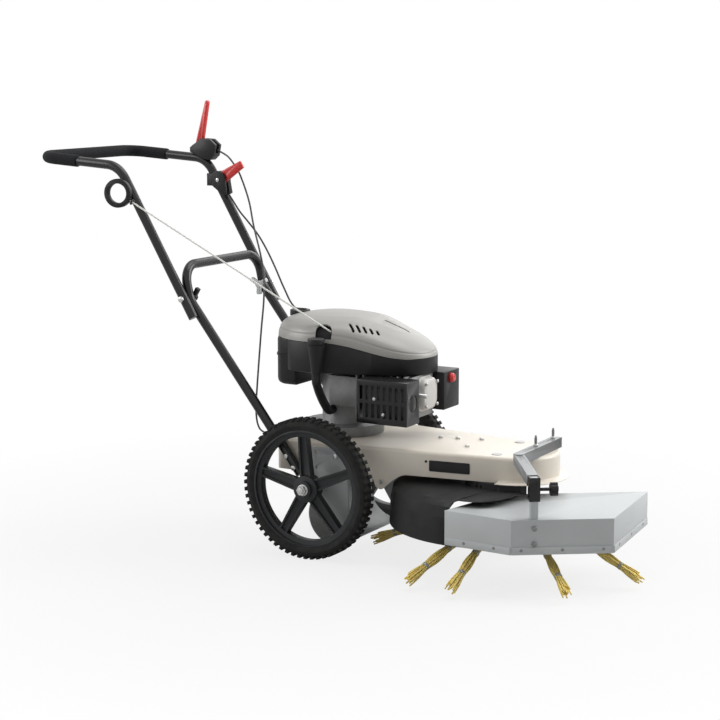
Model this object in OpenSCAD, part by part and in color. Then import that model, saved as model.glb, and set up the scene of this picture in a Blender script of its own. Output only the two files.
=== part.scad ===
// Walk-behind power brush sweeper, in millimetres.
// The origin is on the ground under the axle: +X to the brush, +Y to the machine's left, +Z up.

/* [Wheels] */
// Diameter of a wheel over its lugs
wheel_d = 355; // [320:1:390]
// Width of a tyre
tyre_w = 42; // [36:1:48]
// Height of a tread lug
lug_h = 3.5; // [2.5:0.5:5]
// Length of a tread lug along the tread
lug_l = 9; // [7:0.5:11]
// Lugs in one of a tyre's two rows
lug_count = 60; // [48:1:70]
// Distance of a wheel's middle plane from its axle plate
wheel_out = 49; // [44:0.5:60]
// Diameter of the rim's seat for the tyre
rim_d = 296; // [280:1:306]
// Depth of the rim's ring
rim_depth = 17; // [12:0.5:22]
// Width of the rim's inner ring
rim_w = 22; // [16:1:28]
// Thickness of the rim's lip
lip_t = 5; // [3:0.5:7]
// Diameter of the hub
hub_d = 67; // [58:1:74]
// Diameter of the hub's nose
hub_nose_d = 42; // [34:1:48]
// Length of the hub
hub_l = 50; // [44:1:52]
// Spokes in a wheel
spoke_count = 5; // [4:1:7]
// Turn of the first spoke
spoke_turn = 23; // [0:1:72]
// Width of a spoke at the hub
spoke_root = 31; // [24:1:36]
// Width of a spoke at the rim
spoke_tip = 24; // [18:1:30]
// Thickness of a spoke's web
web_t = 8; // [5:0.5:12]
// Width of a spoke's edge rib
rib_w = 5; // [3:0.5:7]
// Height of a spoke's edge ribs
rib_h = 20; // [14:1:22]

/* [Axle] */
// Diameter of the axle's ends
axle_d = 15; // [12:0.5:18]
// Diameter of the axle between the hubs
axle_mid_d = 22; // [20:0.5:26]
// Width across the corners of an axle nut
axle_nut_d = 26; // [22:0.5:28]
// Height of an axle nut
axle_nut_h = 9; // [6:0.5:12]
// Thickness of a washer
washer_t = 2; // [1.5:0.25:3]
// Thickness of an axle plate
plate_t = 3; // [2:0.25:4]
// Length of an axle plate at its top
plate_l = 104; // [96:1:116]
// Reach of an axle plate below the axle
plate_drop = 125; // [110:1:135]
// Spacing of the two spare holes in an axle plate
spare_pitch = 38; // [30:1:44]
// Diameter of a spare hole
spare_d = 9; // [7:0.5:11]
// Radius of the rear deflector's curve
deflector_r = 75; // [65:1:85]
// Thickness of the rear deflector
deflector_t = 2; // [1.5:0.25:3]

/* [Deck] */
// Height of the deck's top
deck_top = 285; // [275:1:300]
// Thickness of the deck's sheet
deck_t = 2.5; // [2:0.25:4]
// Width of the deck's rear box
deck_w = 324; // [312:1:330]
// Length of the deck behind the axle
deck_tail = 125; // [115:1:135]
// Length of the deck's straight part before the axle
deck_straight = 60; // [50:1:75]
// Distance from the axle to the brush's spindle
brush_x = 468; // [450:1:490]
// Radius of the deck's nose
nose_r = 106; // [102:1:112]
// Depth of the deck's front wall
wall_front = 63; // [60:1:70]
// Depth of the deck's rear wall
wall_rear = 79; // [74:1:84]
// Radius of the deck's nose flange
flange_r = 128; // [122:1:134]
// Depth of the ear that the side bolt is in
ear_depth = 105; // [98:1:110]
// Distance from the axle to the ear's bolt
ear_x = 171; // [160:1:182]
// Diameter of the deck's small bolts
small_bolt_d = 8; // [6:0.5:9]
// Height of a small bolt's head
small_head_h = 5; // [4:0.5:7]

/* [Skirt] */
// Radius of the skirt's rim
skirt_r = 272; // [264:1:276]
// Height of the skirt's bowl
skirt_h = 109; // [100:1:118]
// Thickness of the skirt
skirt_t = 3; // [2:0.25:4]
// Setback of the skirt's rim from the brush's axis
skirt_back = 45; // [30:1:52]
// Height of the skirt's collar
collar_h = 15; // [12:0.5:18]
// Width of the skirt's collar
collar_w = 10; // [8:0.5:12]

/* [Brush] */
// Reach of the brush's wires from the spindle
brush_r = 384; // [365:1:395]
// Radius of the brush's disc
disc_r = 75; // [68:1:82]
// Thickness of the brush's disc
disc_t = 12; // [9:0.5:15]
// Height of the disc's underside
disc_z = 140; // [132:1:146]
// Strands in the innermost ring of a bundle
strand_ring = 7; // [7:1:8]
// Rings of strands in a bundle
ring_count = 3; // [2:1:3]
// Diameter of a strand
strand_d = 2.6; // [2:0.1:3.2]
// Spread of a bundle at its tips
tip_spread = 44; // [36:1:52]
// Spread of a bundle at its socket
root_spread = 18; // [16:0.5:19]
// Length of a bundle's socket
socket_l = 26; // [20:1:32]
// Diameter of the spindle
spindle_d = 20; // [17:0.5:23]
// Diameter of a spindle bearing
bearing_d = 47; // [42:1:52]
// Width of a spindle bearing
bearing_w = 14; // [12:0.5:15]
// Radius of the spindle housing's flange
housing_flange_r = 58; // [50:1:66]
// Radius of the spindle housing
housing_r = 34; // [30:1:38]

/* [Drive] */
// Distance from the crankshaft back to the axle
crank_back = 20; // [10:1:30]
// Diameter of the crankshaft
crank_d = 25; // [22:0.5:28]
// Diameter of the drive pulley
drive_d = 62; // [56:1:70]
// Diameter of the brush pulley
driven_d = 172; // [160:1:180]
// Height of a pulley
pulley_h = 18; // [16:0.5:19]
// Width of the belt
belt_w = 10; // [8:0.5:11]
// Thickness of the belt
belt_t = 7; // [5:0.5:9]
// Radius of the idler pulley
idler_r = 25; // [20:1:28]
// Width of the idler pulley
idler_w = 12; // [10:0.5:13]
// Length of the idler's arm
idler_l = 92; // [84:1:100]
// Thickness of the idler's arm
idler_t = 5; // [4:0.5:7]
// Swing of the idler from the belt at rest
idler_swing = 6; // [4:0.5:8]
// Diameter of the flywheel
flywheel_d = 180; // [160:1:190]
// Thickness of the flywheel
flywheel_t = 26; // [20:1:28]

/* [Guard] */
// Height of the guard's top
guard_top = 187; // [182:1:192]
// Depth of the guard's sides
guard_h = 82; // [74:1:90]
// Thickness of the guard's sheet
guard_t = 2; // [1.5:0.25:3]
// Length of the guard's front panel
front_l = 240; // [225:1:255]
// Depth of the guard from front to back
guard_depth = 256; // [245:1:264]
// Run of the guard's right panel along the front
right_run = 140; // [130:1:150]
// Run of the guard's left panel along the front
left_run = 139; // [130:1:148]
// Depth of the guard's left panel
left_depth = 108; // [100:1:115]
// Turn of the guard's front panel from the length
guard_turn = 34.3; // [32:0.1:36]
// Side of the guard's square post
post_w = 18; // [16:0.5:19]
// Distance of the post along the front panel
post_run = 54; // [48:1:60]
// Diameter of the guard's rivets
rivet_d = 8; // [6:0.5:9]
// Side of the sleeve round the post
sleeve_w = 25; // [24:0.5:28]
// Height of the sleeve
sleeve_h = 56; // [50:1:60]
// Side of the guard's square arm
arm_w = 25; // [22:0.5:27]
// Wall of the guard's square arm
arm_wall = 2; // [1.5:0.25:3]
// Distance from the spindle to the arm across the deck
arm_ahead = 73; // [68:1:78]
// Reach of the arm to the left
arm_left = 78; // [70:1:86]
// Reach of the arm to the right before its bend
arm_right = 150; // [142:1:156]
// Diameter of the star knob
star_d = 32; // [26:1:36]
// Thickness of the star knob
star_t = 17; // [14:0.5:20]
// Diameter of the star knob's stud
star_stud_d = 8; // [6:0.5:10]
// Length of the star knob's bare stud
star_stud_l = 25; // [20:1:30]

/* [Engine] */
// Radius of the engine's base
base_r = 104; // [96:1:106]
// Thickness of the engine's base
base_t = 26; // [20:1:30]
// Radius of the crankcase
case_r = 55; // [50:1:62]
// Height of the engine's block
block_h = 170; // [164:1:180]
// Length of the cylinder before the crankshaft
cylinder_l = 245; // [238:1:252]
// Width of the cylinder's fins
fin_w = 110; // [102:1:112]
// Height of the cylinder's fins
fin_h = 105; // [98:1:112]
// Fins on the cylinder
fin_count = 9; // [6:1:11]
// Thickness of a fin
fin_t = 5; // [3:0.5:6]
// Height of the black shroud
shroud_h = 57; // [52:1:62]
// Thickness of the shroud and the cowl
cowl_t = 3; // [2:0.25:4]
// Radius of the engine cover's rear end
cover_rear_r = 150; // [145:1:154]
// Radius of the engine cover's front end
cover_front_r = 105; // [100:1:110]
// Distance between the engine cover's two ends
cover_span = 172; // [165:1:180]
// Height of the silver cowl
cowl_h = 78; // [72:1:86]
// Width of a slanted slot in the cowl
vent_w = 7; // [5:0.5:9]
// Slanted slots in the cowl
vent_count = 5; // [3:1:6]
// Length of the fuel tank
tank_l = 82; // [76:1:88]
// Width of the fuel tank
tank_w = 190; // [180:1:200]
// Height of the fuel tank
tank_h = 105; // [98:1:110]
// Radius of the filler neck
neck_r = 19; // [16:0.5:22]
// Radius of the fuel cap
cap_r = 26; // [23:0.5:29]
// Height of the fuel cap
cap_h = 15; // [12:0.5:18]
// Length of the muffler guard
muffler_l = 140; // [132:1:148]
// Width of the muffler guard
muffler_w = 65; // [58:1:70]
// Height of the muffler guard
muffler_h = 108; // [100:1:112]
// Thickness of the muffler guard
muffler_t = 2; // [1.5:0.25:3]
// Length of the air box
air_l = 90; // [82:1:95]
// Width of the air box
air_w = 85; // [78:1:90]
// Height of the air box
air_h = 96; // [90:1:100]
// Radius of the primer bulb
primer_r = 12; // [10:0.5:14]
// Travel of the primer bulb
primer_travel = 5; // [3:0.5:6]
// Thickness of the valve cover
valve_t = 22; // [18:0.5:25]
// Radius of the oil tube at its foot
oil_r = 11; // [9:0.5:12]
// Radius of the oil tube's mouth
oil_mouth_r = 21; // [18:0.5:22]
// Height of the oil tube's cone
oil_cone_h = 75; // [65:1:80]
// Radius of the dipstick
dip_r = 3; // [2:0.25:4]
// Length of the dipstick
dip_l = 90; // [80:1:95]

/* [Handles] */
// Diameter of the handles' tube
tube_d = 24; // [20:0.5:25]
// Gap between the two handles' legs at the hinge
hinge_gap = 1.6; // [1.2:0.1:2.5]
// Radius of the handles' corner bends
corner_r = 50; // [42:1:56]
// Radius of the upper handle's elbow
elbow_r = 70; // [60:1:80]
// Reach of the upper handle below its hinge
upper_tail = 55; // [45:1:60]
// Diameter of the foam grip
foam_d = 31; // [29:0.5:34]
// Length of the foam grip on each leg
foam_l = 125; // [110:1:140]
// Diameter of the hinge bolts
hinge_d = 8; // [6:0.5:9]
// Reach of a wing knob
wing_l = 27; // [22:1:30]
// Thickness of a wing knob
wing_t = 12; // [9:0.5:14]

/* [Controls] */
// Length of the clutch lever
clutch_l = 134; // [124:1:140]
// Width of the clutch lever at its root
clutch_root = 24; // [20:0.5:26]
// Width of the clutch lever at its tip
clutch_tip = 11; // [8:0.5:13]
// Thickness of the clutch lever
clutch_t = 12; // [9:0.5:13]
// Length of the throttle lever
throttle_l = 86; // [78:1:92]
// Thickness of the throttle lever
throttle_t = 8; // [6:0.5:9]
// Diameter of the levers' pivots
pivot_d = 8; // [6:0.5:9]
// Radius of the throttle's housing
throttle_r = 24; // [20:0.5:27]
// Thickness of the throttle's housing
throttle_w = 15; // [12:0.5:15]
// Outer radius of the starter's grip
grip_r = 37; // [32:0.5:40]
// Thickness of the starter's grip
grip_t = 13; // [10:0.5:14]
// Width of the starter grip's ring
grip_ring = 12; // [9:0.5:14]
// Diameter of the starter's rope
rope_d = 4.5; // [3.5:0.25:5.5]
// Diameter of a control cable
cable_d = 5; // [4:0.25:6]
// Diameter of the rope guide's wire
eye_wire = 5; // [4:0.25:6]

/* [Fits] */
// Radial clearance of a turning fit
run_gap = 0.08; // [0.05:0.01:0.1]
// Clearance between two pieces that don't touch
free_gap = 0.4; // [0.3:0.05:0.6]

/* [Hidden] */
$fn = 64;
over = 1;
wheel_r = wheel_d / 2;
rim_r = rim_d / 2;
wheel_y = deck_w / 2 + plate_t + wheel_out;
deck_under = deck_top - deck_t;
wall_foot = deck_top - wall_front;
deck_half = deck_w / 2;
tail_x = -deck_tail;
crank_x = -crank_back;
tube_r = tube_d / 2;
housing_h = 2 * bearing_w + 2 * over;
engine_z = deck_top;
shroud_z = deck_top + block_h;
cowl_z = shroud_z + shroud_h;
cover_x = crank_x - crank_back;
cover_front_x = cover_x + cover_span;
pulley_z = deck_under - housing_h - free_gap - pulley_h;
belt_z = pulley_z + (pulley_h - belt_w) / 2;
drive_groove = drive_d / 2 - belt_t + over;
driven_groove = driven_d / 2 - belt_t + over;
belt_run = brush_x - crank_x;
belt_lean = asin((driven_groove - drive_groove) / belt_run);
function mix(a, b, share) = a + (b - a) * share;
// Outside of the belt's left run at a distance along the machine
function belt_out(x) = (drive_groove + free_gap + belt_t + (x - crank_x) * sin(belt_lean)) / cos(belt_lean);
idler_share = 0.46;
idler_x = mix(crank_x, brush_x, idler_share);
idler_near = [idler_x, belt_out(idler_x) + (idler_r + free_gap) / cos(belt_lean)];
idler_lean = 2;
idler_pivot = [idler_near[0] + idler_l * cos(idler_lean), idler_near[1] + idler_l * sin(idler_lean)];

// Handle points in the side view, with heights over the deck's top
lower_foot = [-45, deck_top - 85];
lower_kink = [-373, deck_top + 335];
lower_corner = [-392, deck_top + 422];
hinge_at = [-374, deck_top + 340];
elbow_at = [-570, deck_top + 672];
upper_corner = [-825, deck_top + 689];
leg_dir = (elbow_at - hinge_at) / norm(elbow_at - hinge_at);
upper_foot = hinge_at - upper_tail * leg_dir;
lower_y = deck_w / 2 + tube_r + free_gap;
upper_y = lower_y + tube_d + hinge_gap;

function at(p, y) = [p[0], y, p[1]];
function unit(v) = v / norm(v);
function minus_part(v, n) = v - (v * n) * n;

// Points of a bend of a stated radius at the corner b between a and c
function bend(a, b, c, r, steps) =
  let (
    u = unit(a - b),
    w = unit(c - b),
    half = acos(u * w) / 2,
    mid = unit(u + w),
    centre = b + mid * (r / sin(half)),
    start = b + u * (r / tan(half)) - centre,
    side = unit(minus_part(b + w * (r / tan(half)) - centre, unit(start))),
    sweep = 180 - 2 * half
  )
  [for (i = [0 : steps]) centre + start * cos(sweep * i / steps) + side * r * sin(sweep * i / steps)];

// Unit direction of a route at each of its points
function headings(p) =
  [for (i = [0 : len(p) - 1]) unit(p[min(i + 1, len(p) - 1)] - p[max(i - 1, 0)])];

// One side direction for each heading, carried along without twisting
function sides(t) =
  [for (
    i = 0, n = unit(minus_part(abs(t[0][1]) > 0.9 ? [0, 0, 1] : [0, 1, 0], t[0]));
    i < len(t);
    i = i + 1, n = i < len(t) ? unit(minus_part(n, t[i])) : n
  ) n];

// Closed solid through rings of points that all have the same count
module loft(rings, band = false) {
  n = len(rings[0]);
  m = len(rings);
  end = (m - 1) * n;
  points = [for (ring = rings) each ring];
  walls = [for (i = [0 : m - 2], j = [0 : n - 1])
    let (a = i * n + j, b = i * n + (j + 1) % n)
    each [[a, a + n, b], [b, a + n, b + n]]];
  foot = band
    ? [for (j = [0 : n / 2 - 2]) each [[j, j + 1, n - 2 - j], [j, n - 2 - j, n - 1 - j]]]
    : [for (j = [1 : n - 2]) [0, j, j + 1]];
  head = [for (f = foot) [end + f[0], end + f[2], end + f[1]]];
  polyhedron(points, concat(walls, foot, head));
}

// Tube of a stated radius along a route
module tube(p, r, count) {
  t = headings(p);
  s = sides(t);
  loft([for (i = [0 : len(p) - 1])
    let (b = cross(t[i], s[i]))
    [for (j = [0 : count - 1]) p[i] + r * (s[i] * cos(360 * j / count) + b * sin(360 * j / count))]]);
}

tube_sides = 16;
bend_steps = 6;
cable_sides = 8;

// Route of the lower handle from its right foot to its left foot
lower_route = concat(
  [at(lower_foot, -lower_y)],
  bend(at(lower_foot, -lower_y), at(lower_kink, -lower_y), at(lower_corner, -lower_y), elbow_r, bend_steps),
  bend(at(lower_kink, -lower_y), at(lower_corner, -lower_y), at(lower_corner, lower_y), corner_r, bend_steps),
  bend(at(lower_corner, -lower_y), at(lower_corner, lower_y), at(lower_kink, lower_y), corner_r, bend_steps),
  bend(at(lower_corner, lower_y), at(lower_kink, lower_y), at(lower_foot, lower_y), elbow_r, bend_steps),
  [at(lower_foot, lower_y)]
);

// Route of the upper handle's grip with a stated run on each leg
function grip_route(run) =
  let (back = upper_corner + unit(elbow_at - upper_corner) * run)
  concat(
    [at(back, -upper_y)],
    bend(at(back, -upper_y), at(upper_corner, -upper_y), at(upper_corner, upper_y), corner_r, bend_steps),
    bend(at(upper_corner, -upper_y), at(upper_corner, upper_y), at(back, upper_y), corner_r, bend_steps),
    [at(back, upper_y)]
  );

// Route of one of the upper handle's legs up to the start of its grip
function leg_route(y) = concat(
  [at(upper_foot, y)],
  bend(at(upper_foot, y), at(elbow_at, y), at(upper_corner, y), elbow_r, bend_steps)
);

upper_route = concat(
  leg_route(-upper_y),
  bend(at(elbow_at, -upper_y), at(upper_corner, -upper_y), at(upper_corner, upper_y), corner_r, bend_steps),
  bend(at(upper_corner, -upper_y), at(upper_corner, upper_y), at(elbow_at, upper_y), corner_r, bend_steps),
  [for (i = [bend_steps + 1 : -1 : 0]) leg_route(upper_y)[i]]
);

// Plan of two round ends joined by their common tangents
module tangent_plan(x1, r1, x2, r2) {
  lean = acos((r1 - r2) / (x2 - x1));
  translate([x1, 0]) circle(r = r1);
  translate([x2, 0]) circle(r = r2);
  polygon([
    [x1 + r1 * cos(lean), r1 * sin(lean)],
    [x1 + r1 * cos(lean), -r1 * sin(lean)],
    [x2 + r2 * cos(lean), -r2 * sin(lean)],
    [x2 + r2 * cos(lean), r2 * sin(lean)]
  ]);
}

// Points of the engine cover's plan, drawn in by a stated inset
cover_steps = 14;
function cover_points(inset, z) =
  let (
    r1 = cover_rear_r - inset,
    r2 = cover_front_r - inset,
    lean = acos((r1 - r2) / cover_span)
  )
  concat(
    [for (i = [0 : cover_steps]) let (a = lean + (360 - 2 * lean) * i / cover_steps)
      [cover_x + r1 * cos(a), r1 * sin(a), z]],
    [for (i = [0 : cover_steps]) let (a = -lean + 2 * lean * i / cover_steps)
      [cover_front_x + r2 * cos(a), r2 * sin(a), z]]
  );

// Hexagonal nut or bolt head of a stated width over its corners
module hex(d, h) {
  cylinder(d = d, h = h, $fn = 6);
}

// Wheels, drawn with the axle along Z and the outer side up
bead_share = 0.42;
bead = tyre_w * bead_share;
tread_r = wheel_r - lug_h;
hub_share = 0.62;
spoke_root_share = 0.4;
spoke_x0 = hub_d * spoke_root_share;
spoke_x1 = rim_r - rim_depth + over;
shoulder_shares = [0.45, 0.43, 0.2, 0.24];

module spoke() {
  linear_extrude(web_t, center = true)
    polygon([
      [spoke_x0, -spoke_root / 2],
      [spoke_x1, -spoke_tip / 2],
      [spoke_x1, spoke_tip / 2],
      [spoke_x0, spoke_root / 2]
    ]);
  for (side = [-1, 1])
    linear_extrude(rib_h, center = true)
      polygon([
        [spoke_x0, side * spoke_root / 2],
        [spoke_x1, side * spoke_tip / 2],
        [spoke_x1, side * (spoke_tip / 2 - rib_w)],
        [spoke_x0, side * (spoke_root / 2 - rib_w)]
      ]);
}

module rim() {
  difference() {
    union() {
      rotate_extrude()
        polygon([
          [rim_r - rim_depth, -rim_w / 2],
          [rim_r - lip_t, -rim_w / 2],
          [rim_r - lip_t, -bead],
          [rim_r, -bead],
          [rim_r, bead],
          [rim_r - lip_t, bead],
          [rim_r - lip_t, rim_w / 2],
          [rim_r - rim_depth, rim_w / 2]
        ]);
      cylinder(d = hub_d, h = hub_l * hub_share, center = true);
      cylinder(d = hub_nose_d, h = hub_l, center = true);
      for (i = [0 : spoke_count - 1])
        rotate([0, 0, spoke_turn + 360 * i / spoke_count])
          spoke();
    }
    cylinder(d = axle_d + 2 * run_gap, h = hub_l + 2 * over, center = true);
  }
}

module lug_row(turn) {
  linear_extrude(tyre_w * bead_share - over)
    difference() {
      intersection() {
        circle(r = wheel_r);
        for (i = [0 : lug_count - 1])
          rotate(turn + 360 * i / lug_count)
            translate([tread_r - 2 * lug_h, -lug_l / 2])
              square([4 * lug_h, lug_l]);
      }
      circle(r = tread_r - lug_h);
    }
}

module tyre() {
  half = tyre_w / 2;
  wall = tread_r - rim_r;
  rotate_extrude()
    polygon([
      [rim_r + run_gap, -bead],
      [rim_r + wall * shoulder_shares[0], -half],
      [tread_r - wall * shoulder_shares[2], -tyre_w * shoulder_shares[1]],
      [tread_r, -tyre_w * shoulder_shares[3]],
      [tread_r, tyre_w * shoulder_shares[3]],
      [tread_r - wall * shoulder_shares[2], tyre_w * shoulder_shares[1]],
      [rim_r + wall * shoulder_shares[0], half],
      [rim_r + run_gap, bead]
    ]);
  translate([0, 0, over])
    lug_row(-90);
  mirror([0, 0, 1])
    translate([0, 0, over])
      lug_row(-90 + 180 / lug_count);
}

module on_right() {
  translate([0, -wheel_y, wheel_r])
    rotate([90, 0, 0])
      children();
}

module on_left() {
  mirror([0, 1, 0])
    on_right()
      children();
}

module rim_right() {
  color([0.16, 0.18, 0.2]) on_right() rim();
}

module rim_left() {
  color([0.16, 0.18, 0.2]) on_left() rim();
}

module tyre_right() {
  color([0.1, 0.1, 0.1]) on_right() tyre();
}

module tyre_left() {
  color([0.1, 0.1, 0.1]) on_left() tyre();
}

// Axle and what holds it
nut_past_share = 1.3;
axle_end = wheel_y + hub_l / 2 + free_gap + washer_t + axle_nut_h * nut_past_share;
washer_share = 1.12;
plate_back = 24;
plate_shares = [[0, 0.647], [0, 0.967], [1, 1], [1.04, 0.611], [1.115, 0.05], [0.615, 0], [0.02, 0.433]];
plate_head = deck_top - 3 * deck_t;
spare_at = [-3, deck_top - 45];
plate_bolt_at = [50, deck_top - 30];
deflector_at = [45, 100];
deflector_start = 128;
deflector_sweep = 162;

module along_y(d, h) {
  rotate([90, 0, 0])
    cylinder(d = d, h = h, center = true);
}

module axle() {
  color([0.75, 0.76, 0.78])
    translate([0, 0, wheel_r]) {
      along_y(axle_d, 2 * axle_end);
      along_y(axle_mid_d, 2 * (wheel_y - hub_l / 2 - free_gap));
    }
}

module axle_nuts() {
  color([0.75, 0.76, 0.78])
    for (side = [-1, 1])
      translate([0, side * (wheel_y + hub_l / 2 + free_gap), wheel_r])
        rotate([-90 * side, 0, 0]) {
          difference() {
            cylinder(d = axle_nut_d * washer_share, h = washer_t - free_gap / 4);
            translate([0, 0, -over]) cylinder(d = axle_d + 2 * run_gap, h = washer_t + 2 * over);
          }
          translate([0, 0, washer_t])
            difference() {
              hex(axle_nut_d, axle_nut_h);
              translate([0, 0, -over]) cylinder(d = axle_d + 2 * run_gap, h = axle_nut_h + 2 * over);
            }
        }
}

module axle_plate() {
  translate([0, -deck_half, 0])
    rotate([90, 0, 0])
      linear_extrude(plate_t)
        difference() {
          polygon([for (s = plate_shares)
            [plate_l * s[0] - plate_back, mix(wheel_r - plate_drop, plate_head, s[1])]]);
          translate([0, wheel_r]) circle(d = axle_mid_d + 2 * run_gap);
          for (side = [-1, 1])
            translate([spare_at[0], spare_at[1] + side * spare_pitch / 2]) circle(d = spare_d);
          translate(plate_bolt_at) circle(d = small_bolt_d + 2 * run_gap);
        }
}

module axle_plate_right() {
  color([0.7, 0.72, 0.73]) axle_plate();
}

module axle_plate_left() {
  color([0.7, 0.72, 0.73]) mirror([0, 1, 0]) axle_plate();
}

module rear_deflector() {
  color([0.7, 0.72, 0.73])
    translate([deflector_at[0], deck_half, deflector_at[1]])
      rotate([90, 0, 0])
        rotate([0, 0, deflector_start])
          rotate_extrude(angle = deflector_sweep)
            translate([deflector_r - deflector_t, 0])
              square([deflector_t, deck_w]);
}

// Deck, skirt and their bolts
ear_r_share = 0.2;
ear_r = ear_depth * ear_r_share;
ear_z = deck_top - ear_depth + ear_r;
ear_front_share = 3.2;
crank_hole_share = 1.6;
lead_hole_at = [-125, 20, 240];
deck_bolt_at = [[243, 33], [286, 43], [349, -33], [344, 61]];
arm_bolt_y = 52;
leg_bolt_shares = [0.04, 0.108];
leg_bolts = [for (s = leg_bolt_shares) mix(lower_foot, lower_kink, s)];
side_hole_at = [255, deck_top - 40];
side_hole_d = 6.5;
idler_pin_d = 12;
head_share = 1.7;
wall_steps = 8;

module deck_plan(inset) {
  translate([tail_x + inset, inset - deck_half])
    square([deck_tail + deck_straight - inset, deck_w - 2 * inset]);
  tangent_plan(deck_straight, deck_half - inset, brush_x, nose_r - inset);
}

module below_deck() {
  front = ear_x + ear_r * ear_front_share;
  low = deck_top - ear_depth - 2 * over;
  translate([0, deck_half + over, 0])
    rotate([90, 0, 0])
      linear_extrude(deck_w + 2 * over)
        difference() {
          translate([tail_x - over, low])
            square([deck_tail + brush_x + flange_r + 2 * over, wall_foot - low]);
          translate([tail_x - 2 * over, deck_top - wall_rear])
            square([deck_tail + ear_x, wall_rear]);
          polygon([
            [ear_x - ear_r, wall_foot + over],
            [ear_x - ear_r, ear_z],
            [ear_x, ear_z],
            [ear_x + ear_r, ear_z],
            for (i = [1 : wall_steps]) let (a = 90 * i / wall_steps)
              [mix(front, ear_x + ear_r, cos(a)), mix(ear_z, wall_foot + over, sin(a))]
          ]);
          translate([ear_x, ear_z]) circle(r = ear_r);
        }
}

module deck() {
  color([0.83, 0.79, 0.72])
    difference() {
      union() {
        translate([0, 0, deck_under])
          linear_extrude(deck_t)
            deck_plan(0);
        difference() {
          translate([0, 0, deck_top - ear_depth])
            linear_extrude(ear_depth - deck_t / 2)
              difference() {
                deck_plan(0);
                deck_plan(deck_t);
              }
          below_deck();
        }
        translate([0, 0, wall_foot])
          linear_extrude(deck_t)
            intersection() {
              translate([brush_x, 0])
                difference() {
                  circle(r = flange_r);
                  circle(r = nose_r - deck_t);
                }
              translate([brush_x, -flange_r])
                square([flange_r, 2 * flange_r]);
            }
        translate([idler_pivot[0], idler_pivot[1], pulley_z + pulley_h])
          cylinder(d = idler_pin_d, h = deck_under + deck_t / 2 - pulley_z - pulley_h);
      }
      translate([crank_x, 0, deck_under - over])
        cylinder(d = crank_d * crank_hole_share, h = deck_t + 2 * over);
      for (p = deck_bolt_at)
        translate([p[0], p[1], deck_under - over])
          cylinder(d = small_bolt_d + 2 * run_gap, h = deck_t + 2 * over);
      for (side = [-1, 1]) {
        translate([brush_x + arm_ahead, side * arm_bolt_y, deck_under - over])
          cylinder(d = small_bolt_d + 2 * run_gap, h = deck_t + 2 * over);
        translate([ear_x, side * deck_half, ear_z])
          along_y(small_bolt_d + 2 * run_gap, deck_half / 2);
        for (row = [-1, 1])
          translate([spare_at[0], side * deck_half, spare_at[1] + row * spare_pitch / 2])
            along_y(spare_d, 4 * deck_t);
        translate([plate_bolt_at[0], side * deck_half, plate_bolt_at[1]])
          along_y(small_bolt_d + 2 * run_gap, 4 * deck_t);
        for (p = leg_bolts)
          translate(at(p, side * deck_half))
            along_y(small_bolt_d + 2 * run_gap, 4 * deck_t);
      }
      translate([side_hole_at[0], -deck_half, side_hole_at[1]])
        along_y(side_hole_d, deck_half / 2);
      translate(lead_hole_at)
        rotate([0, 90, 0])
          cylinder(d = cable_d + 2 * free_gap, h = 4 * deck_t, center = true);
    }
}

// Bolt with its head up and its shank down through a stated depth
module bolt(depth) {
  hex(small_bolt_d * head_share, small_head_h);
  translate([0, 0, -depth])
    cylinder(d = small_bolt_d, h = depth + over);
}

ear_y = (deck_half + (ear_x - deck_straight) * (nose_r - deck_half) / (brush_x - deck_straight));

module deck_bolts() {
  color([0.75, 0.76, 0.78]) {
    for (p = deck_bolt_at)
      translate([p[0], p[1], deck_top])
        bolt(2 * deck_t);
    for (side = [-1, 1]) {
      translate([brush_x + arm_ahead, side * arm_bolt_y, deck_top + arm_w])
        bolt(arm_w + 2 * deck_t);
      translate([ear_x, side * (ear_y + deck_t), ear_z])
        rotate([-90 * side, 0, 0])
          bolt(4 * deck_t);
      translate([plate_bolt_at[0], side * (deck_half + plate_t), plate_bolt_at[1]])
        rotate([-90 * side, 0, 0])
          bolt(plate_t + 2 * deck_t);
    }
  }
}

collar_r = flange_r - 2 * over;
bowl_shares = [[0, 0], [0.62, 0.015], [0.86, 0.05], [0.955, 0.16], [0.985, 0.4], [1, 1]];
bowl_start = 100;
bowl_sweep = 168;
bowl_steps = 28;
shelf_shares = [0.79, 0.03];
shelf_start = 262;
shelf_sweep = 38;
shelf_power = 5;
tongue_shares = [[0.98875, 0.55], [1, 1]];
tongue_sweep = 15;
lap_steps = 8;
lap_share = 0.25;
collar_start = 80;
collar_sweep = 225;
skirt_top = wall_foot - collar_h;
skirt_root = collar_r - collar_w / 2;

// Point of the skirt at a share of its profile, drawn in by a stated depth
function skirt_point(share, depth, a) =
  let (
    r = mix(skirt_root, skirt_r, share[0]) - depth,
    back = skirt_back * (r - skirt_root) / (skirt_r - skirt_root),
    z = mix(skirt_top, skirt_top - skirt_h, share[1]) - depth
  )
  [brush_x - back + r * cos(a), r * sin(a), max(z, skirt_top - skirt_h)];

// Ring of the skirt's wall at an angle, between two depths under its face
function skirt_ring(shares, a, depth, under) = concat(
  [for (share = shares) skirt_point(share, depth, a)],
  [for (i = [len(shares) - 1 : -1 : 0]) skirt_point(shares[i], under, a)]
);

function shelf_row(reach) = [for (s = [0, reach / 2, reach]) [s, lookup(s, bowl_shares)]];

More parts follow.
